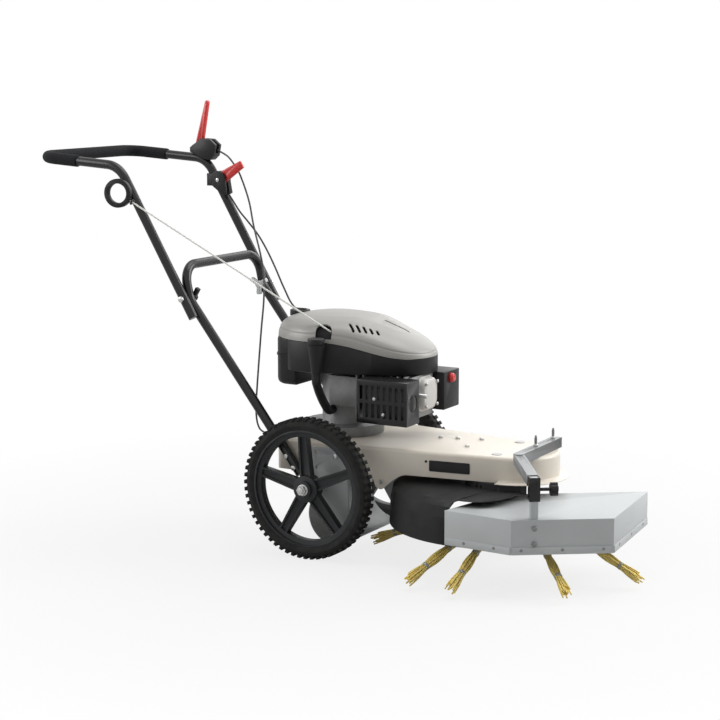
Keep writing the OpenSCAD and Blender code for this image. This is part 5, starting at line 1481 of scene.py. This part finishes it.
@dataclass
class Engine(Assembly):
    """The petrol engine with its cowl, tank and fittings."""

    # Plan of cowl and shroud: place and radius of each end
    rear: Spot = (-40.0, 150.0)
    front: Spot = (132.0, 105.0)
    plan_steps: int = 36
    # Cowl: inset and height share of its rows
    rows: "tuple[Spot, ...]" = ((0, 0), (1.5, 0.2), (6, 0.45), (18, 0.68), (42, 0.87), (81, 1))
    cowl_wall: float = 2.4
    cowl_sharp: float = 38.0
    cowl_steps: int = 5
    # Wavy seam under the cowl, its sloping top and the crease round it
    seam_from: float = 8.0
    seam_run: float = 195.0
    seam_top: float = 533.0
    seam_drop: float = 36.0
    seam_wave_share: float = 0.35
    crown_from: float = 60.0
    crown_top: float = 590.0
    crown_fall_share: float = 0.18
    crown_ease: float = 500.0
    crease_depth: float = 1.6
    crease_share: float = 0.36
    crease_width_share: float = 0.03
    # Dark lining inside the cowl: the black blower housing, and painted shade in the cowl's openings
    lining_depth: float = 7.0
    lining_back: float = -105.0
    lining_steps: int = 3
    # Openings in the cowl
    vent_count: int = 5
    vent_ends: "tuple[Point, Point]" = ((61, -102, 0), (121, -76, 0))
    vent_lean: Point = (0.788, -0.616, 0)
    vent_half: float = 15.0
    vent_less: float = 1.5
    vent_width: float = 3.5
    vent_rise: Spot = (525, 600)
    slot: Opening = Opening((128, 12, 0), (36, 0, 0), (0, 3.2, 0), 520, 600)
    pocket: Opening = Opening((1, -138, 0), (21.5, -1, 0), (0, 20, 0), 541, 580)
    opening_steps: int = 10
    filler_x: float = -150.0
    filler_r: float = 29.1
    filler_sides: int = 48
    filler_rise: Spot = (500, 610)
    # Shroud: inset and height share of its rows
    shroud_low: float = 455.0
    shroud_back: float = -109.6
    shroud_rows: "tuple[Spot, ...]" = (
        (4.0, 0.0), (1.2, 0.02), (0.0, 0.07), (0.0, 0.955), (1.2, 0.985), (2.8, 1.0), (2.8, 1.1), (40.0, 1.1),
    )
    # Fuel tank: inset and height of its rows, from its foot, seam and top
    tank_low: float = 406.6
    tank_mid: float = 484.0
    tank_high: float = 531.0
    tank_back: float = 152.0
    tank_end: float = -191.5
    tank_face: float = -110.0
    tank_draft_share: float = 0.3
    tank_half: float = 95.0
    tank_corner: float = 14.0
    tank_trim_share: float = 1.4
    tank_steps: int = 36
    face_steps: int = 12
    tank_foot: "tuple[Spot, ...]" = ((16, 0), (9, 1.6), (4, 5), (1.2, 10), (0, 17))
    tank_bead: "tuple[Spot, ...]" = ((0, -2.5), (-2.2, -2.2), (-2.2, 2.2), (0, 2.5))
    tank_head: "tuple[Spot, ...]" = ((0, -8), (1.5, -3), (5, 0))
    # Filler neck: height and radius of its rows
    neck_rows: "tuple[Spot, ...]" = ((530, 19), (548, 19), (566, 19), (570, 20.5), (574.4, 20.5))
    neck_sides: int = 40
    # Oil filler with its funnel
    oil_bend: "tuple[Point, ...]" = (
        (-20, -55.4, 350), (-20, -77, 350), (-14, -112, 375), (-6, -148, 408), (0, -173, 438),
    )
    oil_neck: "tuple[Point, Point]" = ((0, -173, 442), (0, -173, 532))
    oil_steps: "tuple[int, int]" = (8, 20)
    oil_r: float = 11.0
    oil_sides: int = 32
    funnel_low: float = 457.0
    funnel_r: float = 12.0
    funnel_flare: float = 9.0
    funnel_run: float = 75.0
    # Valve cover: place and inset of its rows
    cover_rows: "tuple[Spot, ...]" = (
        (225.2, 0.0), (229.0, 0.0), (229.6, 3.5), (240.0, 4.5), (244.5, 8.0), (246.8, 16.0),
    )
    cover_y: Spot = (-68, 14.5)
    cover_z: Spot = (364, 451)
    cover_corner: float = 24.0
    cover_draw_share: float = 0.6
    cover_least: float = 8.0
    cover_steps: int = 8
    # Screws
    cover_screws: "tuple[Point, ...]" = ((248, -56, 379), (248, -56, 436), (248, 2, 379), (248, 2, 436))
    guard_screws: "tuple[Point, ...]" = ((160, -166, 409), (185, -166, 372))
    screw_r: float = 4.4
    screw_h: float = 3.0
    screw_sides: int = 6

    def seam(self, x: float) -> float:
        """Height of the seam between shroud and cowl.

        Args:
            x: Distance along the machine.

        Returns:
            The height.
        """
        share = max(0.0, min(1.0, (x - self.seam_from) / self.seam_run))
        wave = self.seam_wave_share * math.sin(2 * math.pi * share) / (2 * math.pi)
        return self.seam_top - self.seam_drop * (share - wave)

    def crown(self, x: float) -> float:
        """Height of the cowl's top, which slopes down to the nose."""
        past = x - self.crown_from
        return self.crown_top - self.crown_fall_share * (past + math.sqrt(past * past + self.crown_ease))

    def plan(self, inset: float) -> "list[Spot]":
        """Outline of cowl and shroud, inset from their widest."""
        (rear_x, rear_r), (front_x, front_r) = self.rear, self.front
        return tangent_outline(rear_x, rear_r - inset, front_x, front_r - inset, self.plan_steps)

    def profile(self, steps: int) -> "list[Spot]":
        """Inset and height share of the cowl's rows, on a smooth curve."""
        curve = smooth_route([(a, b, 0) for a, b in self.rows], steps)
        return [(max(0.0, p.x), min(1.0, p.y)) for p in curve]

    def cowl(self) -> bpy.types.Object:
        """The moulded cowl with its crease, slots, pocket and filler hole.

        Returns:
            The cowl.
        """
        rings = [self.cowl_ring(inset, share, 0.0) for inset, share in self.profile(self.cowl_steps)]
        made = self.shop.loft("dressed_engine_cowl", rings, COWL, foot=False)
        self.shop.walled(made, self.cowl_wall)
        cutters = self.cutters()
        for i, cutter in enumerate(cutters):
            cut = made.modifiers.new(f"cut_{i}", "BOOLEAN")
            cut.operation = "DIFFERENCE"
            cut.solver = "EXACT"
            cut.object = cutter
        self.shop.settle(made, self.cowl_sharp)
        for cutter in cutters:
            bpy.data.objects.remove(cutter)
        return made

    def cowl_ring(self, inset: float, share: float, depth: float) -> "list[Point]":
        """One ring of the cowl, or of the lining at a depth inside it.

        Args:
            inset: Distance inside the cowl's plan.
            share: Share of the way from the seam to the top.
            depth: Depth inside the cowl.

        Returns:
            Points of the ring.
        """
        from_crease = (share - self.crease_share) / self.crease_width_share
        inset += depth + self.crease_depth * math.exp(-from_crease ** 2)
        plan = self.plan(inset)
        if depth:
            plan = [(max(x, self.lining_back), y) for x, y in plan]
        return [(x, y, self.seam(x) + (self.crown(x) - self.seam(x)) * share - depth) for x, y in plan]

    def lining(self) -> bpy.types.Object:
        """The dark lining that shows through the cowl's openings: the black blower housing, and painted shade
        inside the cowl.
        """
        rows = self.profile(self.lining_steps)
        return self.shop.loft("cowl_lining", [self.cowl_ring(*row, self.lining_depth) for row in rows], HOUSING_AND_SHADE)

    def cutters(self) -> "list[bpy.types.Object]":
        """Solids that open the cowl.

        Returns:
            The vents, the slot, the filler hole and the pocket.
        """
        cuts: "list[bpy.types.Object]" = []
        first, last = (Vector(end) for end in self.vent_ends)
        along = Vector(self.vent_lean)
        across = Vector((-along.y, along.x, 0)) * self.vent_width
        for i in range(self.vent_count):
            middle = first.lerp(last, i / (self.vent_count - 1))
            half = along * (self.vent_half - self.vent_less * i)
            cuts.append(self.pill(Opening(middle, half, across, *self.vent_rise)))
        cuts.append(self.pill(self.slot))
        turns = (2 * math.pi * i / self.filler_sides for i in range(self.filler_sides))
        hole = [(self.filler_x + self.filler_r * math.cos(a), self.filler_r * math.sin(a)) for a in turns]
        cuts.append(self.prism(hole, *self.filler_rise))
        cuts.append(self.pill(self.pocket))
        return cuts

    def pill(self, opening: Opening) -> bpy.types.Object:
        """A standing cutter with round ends.

        Args:
            opening: Place and size of the opening.

        Returns:
            The cutter.
        """
        middle, along, across = (Vector(v) for v in (opening.middle, opening.along, opening.across))
        push = along * (1 - across.length / along.length)
        ahead = along.normalized() * across.length
        turn = [math.pi * i / self.opening_steps for i in range(self.opening_steps + 1)]
        face = [middle + push + across * math.cos(t) + ahead * math.sin(t) for t in turn]
        face += [middle - push - across * math.cos(t) - ahead * math.sin(t) for t in turn]
        return self.prism([(p.x, p.y) for p in reversed(face)], opening.low, opening.high)

    def prism(self, plan: "list[Spot]", low: float, high: float) -> bpy.types.Object:
        """A standing solid of a plan given anticlockwise."""
        return self.shop.loft("cutter", [[(x, y, z) for x, y in plan] for z in (low, high)], HOUSING_AND_SHADE)

    def shroud(self) -> bpy.types.Object:
        """The black collar under the cowl, which also shows as a lip at the wavy seam.

        Returns:
            The collar.
        """
        low = self.shroud_low
        rings = []
        for inset, share in self.shroud_rows:
            plan = self.plan(inset)
            rings.append([(max(x, self.shroud_back), y, low + (self.seam(x) - low) * share) for x, y in plan])
        return self.shop.loft("dressed_engine_shroud", rings, BLACK_PLASTIC)

    def tank(self) -> bpy.types.Object:
        """The fuel tank with rounded edges and a bead at its seam.

        Returns:
            The tank.
        """
        rings = []
        for start, rows in (
            (self.tank_low, self.tank_foot),
            (self.tank_mid, self.tank_bead),
            (self.tank_high, self.tank_head),
        ):
            rings += [self.tank_plan(inset, start + rise) for inset, rise in rows]
        return self.shop.loft("dressed_fuel_tank", rings, BLACK_PLASTIC)

    def tank_plan(self, inset: float, z: float) -> "list[Point]":
        """One ring of the tank, anticlockwise.

        Args:
            inset: Distance inside the tank's widest outline.
            z: Height of the ring.

        Returns:
            Points of the ring.
        """
        r, w, into = self.tank_back - inset, self.tank_half - inset, max(inset, 0.0)
        lean = math.asin(w / r)
        out: "list[Point]" = []
        for i in range(self.tank_steps + 1):
            a = math.pi - lean + 2 * lean * i / self.tank_steps
            x, y = self.rear[0] + r * math.cos(a), r * math.sin(a)
            trim = max(0.0, self.tank_corner - (w - abs(y)))
            x += trim * trim / (2 * self.tank_corner) * self.tank_trim_share
            out.append((max(x, self.tank_end + into), y, z))
        face = self.tank_face - into * self.tank_draft_share
        out += [(face, -w + 2 * w * i / self.face_steps, z) for i in range(self.face_steps + 1)]
        return out

    def build(self) -> None:
        """Dress the engine."""
        shop = self.shop
        for made, slot, node in (
            (self.cowl(), "cowl_silver", "engine_cowl"),
            (self.lining(), "black_plastic", "engine_cowl"),
            (self.shroud(), "black_plastic", "engine_shroud"),
            (self.valve_cover(), "valve_paint", "valve_cover"),
            (self.tank(), "black_plastic", "fuel_tank"),
            (self.neck(), "black_plastic", "fuel_tank"),
        ):
            shop.put(made, "chassis", slot, node)
        for node, finish, slot, width, body in (
            ("engine_block", ALLOY, "cast_alloy", 0.7, "chassis"),
            ("spark_plug", STEEL, "steel", 0.5, "chassis"),
            ("muffler", IRON, "cast_iron", 2.0, "chassis"),
            ("muffler_guard", BLACK_PAINT, "black_paint", 0.6, "chassis"),
            ("air_box", BLACK_PLASTIC, "black_plastic", 4.0, "chassis"),
            ("carburettor", ALLOY, "cast_alloy", 1.2, "chassis"),
            ("fuel_cap", BLACK_PLASTIC, "black_plastic", 1.0, "fuel_cap"),
            ("dipstick", BLACK_PLASTIC, "black_plastic", 1.0, "dipstick"),
            ("primer_bulb", RED, "red_plastic", 0.8, "primer"),
        ):
            shop.eased(node, finish, slot, width, body)
        shop.put(self.oil_tube(), "chassis", "black_plastic", "oil_tube")
        self.fixings()

    def neck(self) -> bpy.types.Object:
        """The tank's filler neck with a bead under its cap.

        Returns:
            The neck.
        """
        route = [Vector((self.filler_x, 0, z)) for z, _ in self.neck_rows]
        radii = [r for _, r in self.neck_rows]
        return self.shop.tube("tank_neck", route, radii, BLACK_PLASTIC, self.neck_sides)

    def oil_tube(self) -> bpy.types.Object:
        """The bent oil filler with a funnel at its top.

        Returns:
            The tube.
        """
        bend_steps, neck_steps = self.oil_steps
        route = smooth_route(list(self.oil_bend), bend_steps) + straight(*self.oil_neck, neck_steps)
        radii = []
        for p in route:
            flare = self.funnel_flare * min(1.0, (p.z - self.funnel_low) / self.funnel_run)
            radii.append(self.oil_r if p.z < self.funnel_low else self.funnel_r + flare)
        return self.shop.tube("dressed_oil_tube", route, radii, BLACK_PLASTIC, self.oil_sides)

    def valve_cover(self) -> bpy.types.Object:
        """The pressed valve cover with round corners and a domed face.

        Returns:
            The cover.
        """
        rings: "list[list[Point]]" = []
        for x, inset in self.cover_rows:
            r = max(self.cover_corner - inset * self.cover_draw_share, self.cover_least)
            right, left = self.cover_y[0] + inset + r, self.cover_y[1] - inset - r
            foot, head = self.cover_z[0] + inset + r, self.cover_z[1] - inset - r
            rings.append([
                (x, y + r * math.cos(a), z + r * math.sin(a))
                for quarter, (y, z) in enumerate(((left, head), (right, head), (right, foot), (left, foot)))
                for a in (math.pi / 2 * (quarter + i / self.cover_steps) for i in range(self.cover_steps + 1))
            ])
        return self.shop.loft("dressed_valve_cover", rings, VALVE)

    def fixings(self) -> None:
        """Screws of the valve cover and the muffler guard."""
        spots = [(place, (1, 0, 0)) for place in self.cover_screws]
        spots += [(place, (0, -1, 0)) for place in self.guard_screws]
        screws = self.studs.add("engine_screws", spots, self.screw_r, self.screw_h, STEEL, self.screw_sides)
        self.shop.put(screws, "chassis", "steel")


@dataclass
class Handles(Assembly):
    """The lower handle on the deck and the upper handle that folds on it."""

    # Tubes, their bends placed along the machine and up
    tube_r: float = 12.0
    lower_y: float = 174.4
    upper_y: float = 200.0
    foot: Spot = (-45.0, 200.0)
    kink: Spot = (-373.0, 620.0)
    lower_corner: Spot = (-392.0, 707.0)
    hinge: Spot = (-374.0, 625.0)
    elbow: Spot = (-570.0, 957.0)
    upper_corner: Spot = (-825.0, 974.0)
    tail: float = 55.0
    corner_r: float = 50.0
    corner_steps: int = 18
    elbow_r: float = 70.0
    elbow_steps: int = 14
    leg_steps: int = 10
    leg_skip: int = 2
    # Foam sleeve: distance from its end and loss of radius of the end rows
    foam_r: float = 15.5
    foam_run: float = 125.0
    foam_steps: int = 8
    foam_skip: int = 4
    foam_sides: int = 36
    foam_ends: "tuple[Spot, ...]" = ((0.0, 1.8), (1.2, 0.5), (3.5, 0.0))
    knob_ease: float = 1.5

    def loop(self, foot: Spot, knee: Spot, corner: Spot, y: float) -> "list[Vector]":
        """Route of a handle from its right foot to its left one.

        Args:
            foot: Lower end in the side view.
            knee: Bend in the side view.
            corner: Corner with the crossbar.
            y: Half of the distance between the legs.

        Returns:
            Points of the route.
        """
        f, k, c = (Vector((p[0], -y, p[1])) for p in (foot, knee, corner))
        right = straight(f, k, self.leg_steps)[:-self.leg_skip]
        right += bend(f, k, c, self.elbow_r, self.elbow_steps)
        far = Vector((c.x, y, c.z))
        right += bend(k, c, far, self.corner_r, self.corner_steps)
        return self.mirrored(right)

    def mirrored(self, right: "list[Vector]") -> "list[Vector]":
        """A route's right half with its left half after it."""
        return right + [Vector((p.x, -p.y, p.z)) for p in reversed(right)]

    def build(self) -> None:
        """Make both handles, the grip and the knobs of the hinge."""
        shop = self.shop
        lower = self.loop(self.foot, self.kink, self.lower_corner, self.lower_y)
        lean = (Vector(self.elbow) - Vector(self.hinge)).normalized()
        start = Vector(self.hinge) - lean * self.tail
        upper = self.loop((start.x, start.y), self.elbow, self.upper_corner, self.upper_y)
        for node, route, body in (("lower_handle", lower, "chassis"), ("upper_handle", upper, "upper")):
            shop.put(shop.tube("dressed_" + node, route, self.tube_r, BLACK_PAINT), body, "black_paint", node)
        shop.put(self.grip(), "upper", "foam", "foam_grip")
        shop.eased("wing_knob_right", BLACK_PLASTIC, "black_plastic", self.knob_ease, "wing_right")
        shop.eased("wing_knob_left", GREY_PLASTIC, "grey_plastic", self.knob_ease, "wing_left")

    def grip(self) -> bpy.types.Object:
        """The foam sleeve round the crossbar, its ends a little rounded.

        Returns:
            The sleeve.
        """
        y, ends = self.upper_y, (Vector(self.elbow) - Vector(self.upper_corner)).normalized() * self.foam_run
        corner = Vector((self.upper_corner[0], -y, self.upper_corner[1]))
        start = corner + Vector((ends.x, 0, ends.y))
        right = straight(start, corner, self.foam_steps)[:-self.foam_skip]
        right += bend(start, corner, Vector((corner.x, y, corner.z)), self.corner_r, self.corner_steps)
        route = self.mirrored(right)
        first, last = (route[1] - route[0]).normalized(), (route[-1] - route[-2]).normalized()
        tip = Vector((start.x, y, start.z))
        route = [route[0] + first * away for away, _ in self.foam_ends] + route[1:-1]
        route += [tip - last * away for away, _ in reversed(self.foam_ends)]
        radii = [self.foam_r] * len(route)
        for at, (_, less) in enumerate(self.foam_ends):
            radii[at] -= less
            radii[-1 - at] -= less
        return self.shop.tube("dressed_foam_grip", route, radii, FOAM, self.foam_sides)


@dataclass
class Controls(Assembly):
    """Levers, cables, the starter's rope and its grip."""

    cable_r: float = 2.5
    rope_r: float = 2.25
    cord_sides: int = 14
    span_steps: int = 6
    # Cables, from the handle down
    clutch_route: "tuple[Point, ...]" = (
        (-533, 200, 980), (-500, 197, 966), (-476, 194, 944), (-454, 190, 916), (-423, 184, 849),
        (-400, 172, 780), (-352, 140, 678), (-335, 118, 600), (-330, 95, 510), (-326, 76, 430),
        (-322, 60, 365), (-320, 50, 305), (-310, 44, 262), (-285, 38, 245), (-215, 26, 240),
        (-160, 20, 240), (-125, 20, 240), (-108, 20, 240),
    )
    throttle_route: "tuple[Point, ...]" = (
        (-483, 180, 861), (-470, 184, 840), (-455, 190, 815), (-434, 198, 788), (-406, 205, 752),
        (-378, 206, 710), (-351, 205, 663), (-323, 202, 612), (-290, 197, 566), (-230, 192, 532),
        (-150, 190, 498), (-40, 190, 440), (60, 172, 410), (95, 152, 406), (118, 130, 404),
        (127, 100, 405), (130, 69, 406),
    )
    # Starter's rope and the lead to its grip
    guide: Point = (-517.08, -220.05, 867.36)
    rope_end: Point = (14.0, -122.0, 558.0)
    rope_steps: int = 60
    lead: float = 6.0
    lead_gap: float = 0.4
    lead_steps: int = 30
    # Screw of the throttle lever
    screw: Point = (-506.68, 157.6, 902.56)
    screw_r: float = 5.0
    screw_h: float = 2.0

    def cable(
        self, name: str, route: "list[Vector]", radius: float, finish: Finish, slot: str, node: str, lay: str
    ) -> None:
        """A cord between the chassis and the upper handle.

        Args:
            name: Name of the piece.
            route: Points from the handle down.
            radius: Radius in millimetres.
            finish: Finish of the cord.
            slot: Name of a material slot, not used.
            node: CAD node that it stands for.
            lay: How the cord lies, not used.
        """
        made = self.shop.tube(name, route, radius, finish, self.cord_sides)
        length = sum((b - a).length for a, b in zip(route, route[1:])) * MM
        tuple(route[-1] * MM)
        tuple(route[0] * MM)
        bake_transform(made)
        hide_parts(node)
        tuple(route[0] * MM)
        [tuple(p * MM) for p in route]
        LOG.info("%s is %.2f m long", name, length)

    def build(self) -> None:
        """Make the cords first and then the levers."""
        shop = self.shop
        for node, points in (("clutch_cable", self.clutch_route), ("throttle_cable", self.throttle_route)):
            route = smooth_route(list(points), self.span_steps)
            self.cable("dressed_" + node, route, self.cable_r, CABLE, "cable_sheath", node, "loose")
        rope = straight(self.guide, self.rope_end, self.rope_steps)
        self.cable("dressed_starter_rope", rope, self.rope_r, ROPE, "rope", "starter_rope", "taut")
        self.rope_lead(rope)
        for node, finish, slot, width, body in (
            ("lever_mount", BLACK_PLASTIC, "black_plastic", 3.0, "upper"),
            ("throttle_housing", BLACK_PLASTIC, "black_plastic", 1.5, "upper"),
            ("rope_guide", BLACK_PAINT, "black_paint", 0.4, "upper"),
            ("clutch_lever", RED, "red_plastic", 2.4, "clutch_lever"),
            ("throttle_lever", RED, "red_plastic", 1.6, "throttle_lever"),
            ("starter_grip", BLACK_PLASTIC, "black_plastic", 4.0, "starter_grip"),
        ):
            shop.eased(node, finish, slot, width, body)
        screw = [(self.screw, (0, -1, 0))]
        shop.put(self.studs.add("throttle_screw", screw, self.screw_r, self.screw_h, STEEL), "upper", "steel")

    def rope_lead(self, rope: "list[Vector]") -> None:
        """The short end of rope between the guide and the grip.

        Args:
            rope: Points of the taut rope from its guide down.
        """
        pull = (rope[0] - rope[1]).normalized()
        start, end = rope[0] + pull * self.lead_gap, rope[0] + pull * (self.lead - self.lead_gap)
        route = straight(start, end, self.lead_steps)
        made = self.shop.tube("dressed_rope_lead", route, self.rope_r, ROPE, self.cord_sides)
        tuple(route[0] * MM)
        tuple(route[-1] * MM)
        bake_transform(made)
        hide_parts("rope_lead")


def facing(place: Point, target: Point) -> Euler:
    """Turn of a lamp or camera that stands at a place and looks at a target."""
    return (Vector(target) - Vector(place)).to_track_quat("-Z", "Y").to_euler()


@dataclass(frozen=True)
class Lamp:
    """One soft square lamp: where it stands, what it looks at, its side in metres and its watts."""

    name: str
    place: Point
    target: Point
    size: float
    power: float

    def hang(self) -> None:
        """Add the lamp to the scene."""
        data = bpy.data.lights.new(self.name, "AREA")
        data.size = self.size
        data.energy = self.power
        lamp = bpy.data.objects.new(self.name, data)
        lamp.location = self.place
        lamp.rotation_euler = facing(self.place, self.target)
        bpy.context.scene.collection.objects.link(lamp)


@dataclass
class Studio:
    """Camera, floor and light."""

    # Camera
    eye: Point = (2.3213, -4.0766, 1.2372)
    aim: Point = (0.0273, 0.0, 0.4712)
    lens: float = 93.04
    sensor: float = 36.0
    # Light
    lamps: "tuple[Lamp, ...]" = (
        Lamp("top", (0.6, 0.7, 4.4), (0.1, 0.0, 0.3), 3.2, 98.0),
        Lamp("back", (3.4, 2.4, 2.6), (0.2, 0.0, 0.3), 2.4, 150.0),
        Lamp("rear", (-0.4, 4.4, 2.7), (0.0, 0.0, 0.5), 3.0, 45.0),
        Lamp("left", (-3.6, -2.3, 2.2), (0.0, 0.0, 0.4), 2.6, 104.0),
        Lamp("camera_side", (1.6, -4.0, 3.0), (0.0, 0.0, 0.4), 3.0, 5.0),
    )
    soft_level: float = 0.25
    white_level: float = 1.0
    # Floor, and how it passes into the white
    floor: float = 12.0
    floor_drop: float = 0.0005
    floor_rough: float = 0.9
    floor_tones: Spot = (0.6, 0.62)
    fade_span: Spot = (0.6, 1.5)
    fade_near: float = 0.8

    def build(self) -> None:
        """Set the stage."""
        scene = bpy.context.scene
        scene.view_settings.view_transform = "Standard"
        data = bpy.data.cameras.new("camera")
        data.lens = self.lens
        data.sensor_width = self.sensor
        camera = bpy.data.objects.new("camera", data)
        camera.location = self.eye
        camera.rotation_euler = facing(self.eye, self.aim)
        scene.collection.objects.link(camera)
        scene.camera = camera
        self.world()
        self.ground()
        for lamp in self.lamps:
            lamp.hang()

    def world(self) -> None:
        """White behind the object, and a plain soft level of light."""
        world = bpy.data.worlds.new("studio")
        bpy.context.scene.world = world
        world.use_nodes = True
        tree = world.node_tree
        tree.nodes.clear()
        out = tree.nodes.new("ShaderNodeOutputWorld")
        mix = tree.nodes.new("ShaderNodeMixShader")
        path = tree.nodes.new("ShaderNodeLightPath")
        for slot, level in ((1, self.soft_level), (2, self.white_level)):
            plain = tree.nodes.new("ShaderNodeBackground")
            plain.inputs["Color"].default_value = (1, 1, 1, 1)
            plain.inputs["Strength"].default_value = level
            tree.links.new(plain.outputs[0], mix.inputs[slot])
        seen = path.outputs["Is Camera Ray"]
        for ray in ("Is Glossy Ray", "Is Transmission Ray"):
            either = tree.nodes.new("ShaderNodeMath")
            either.operation = "MAXIMUM"
            tree.links.new(seen, either.inputs[0])
            tree.links.new(path.outputs[ray], either.inputs[1])
            seen = either.outputs[0]
        tree.links.new(seen, mix.inputs[0])
        tree.links.new(mix.outputs[0], out.inputs[0])

    def ground(self) -> None:
        """A pale floor that keeps a soft shadow."""
        shader = Shader("floor")
        where = shader.coords()
        tone = shader.noise(where, scale=3.0, detail=3.0).ramp(0.3, 0.7)
        dark, pale = ((grey, grey, grey, 1) for grey in self.floor_tones)
        shader.put(shader.surface.inputs["Base Color"], shader.blend(tone, dark, pale))
        shader.surface.inputs["Roughness"].default_value = self.floor_rough
        shader.surface.inputs["Specular IOR Level"].default_value = 0.0
        self.fade(shader, where)
        data = bpy.data.meshes.new("floor")
        half = self.floor / 2
        corners = [(-half, -half, 0), (half, -half, 0), (half, half, 0), (-half, half, 0)]
        data.from_pydata(corners, [], [(0, 1, 2, 3)])
        data.materials.append(shader.material)
        made = bpy.data.objects.new("floor", data)
        bpy.context.scene.collection.objects.link(made)
        made.location.z = -self.floor_drop

    def fade(self, shader: Shader, where: Sock) -> None:
        """Let the floor pass into the white behind the object.

        Args:
            shader: The floor's shader.
            where: Object coordinates of the floor.
        """
        away = shader.node("ShaderNodeVectorMath", {"operation": "LENGTH"}, {0: where}, "Value")
        seen = shader.node("ShaderNodeLightPath", {}, {}, "Is Camera Ray")
        share = away.ramp(*self.fade_span) * (1.0 - self.fade_near) + self.fade_near
        white = shader.node("ShaderNodeEmission", {}, {})
        plain = Sock(shader, shader.surface.outputs[0])
        mix = shader.node("ShaderNodeMixShader", {}, {0: seen * share, 1: plain, 2: white})
        shader.put(shader.out.inputs["Surface"], mix)


def main() -> None:
    """Build the dressed machine and its studio."""
    logging.basicConfig(level=logging.INFO, format="%(message)s")
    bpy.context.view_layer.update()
    shop = Workshop()
    studs = Studs(shop)
    Studio().build()
    for part in (Controls, Handles, Wheels, Chassis, Deck, Brush, Guard, Engine):
        LOG.info("building %s", part.__name__)
        part(shop, studs).build()


if __name__ == "__main__":
    main()
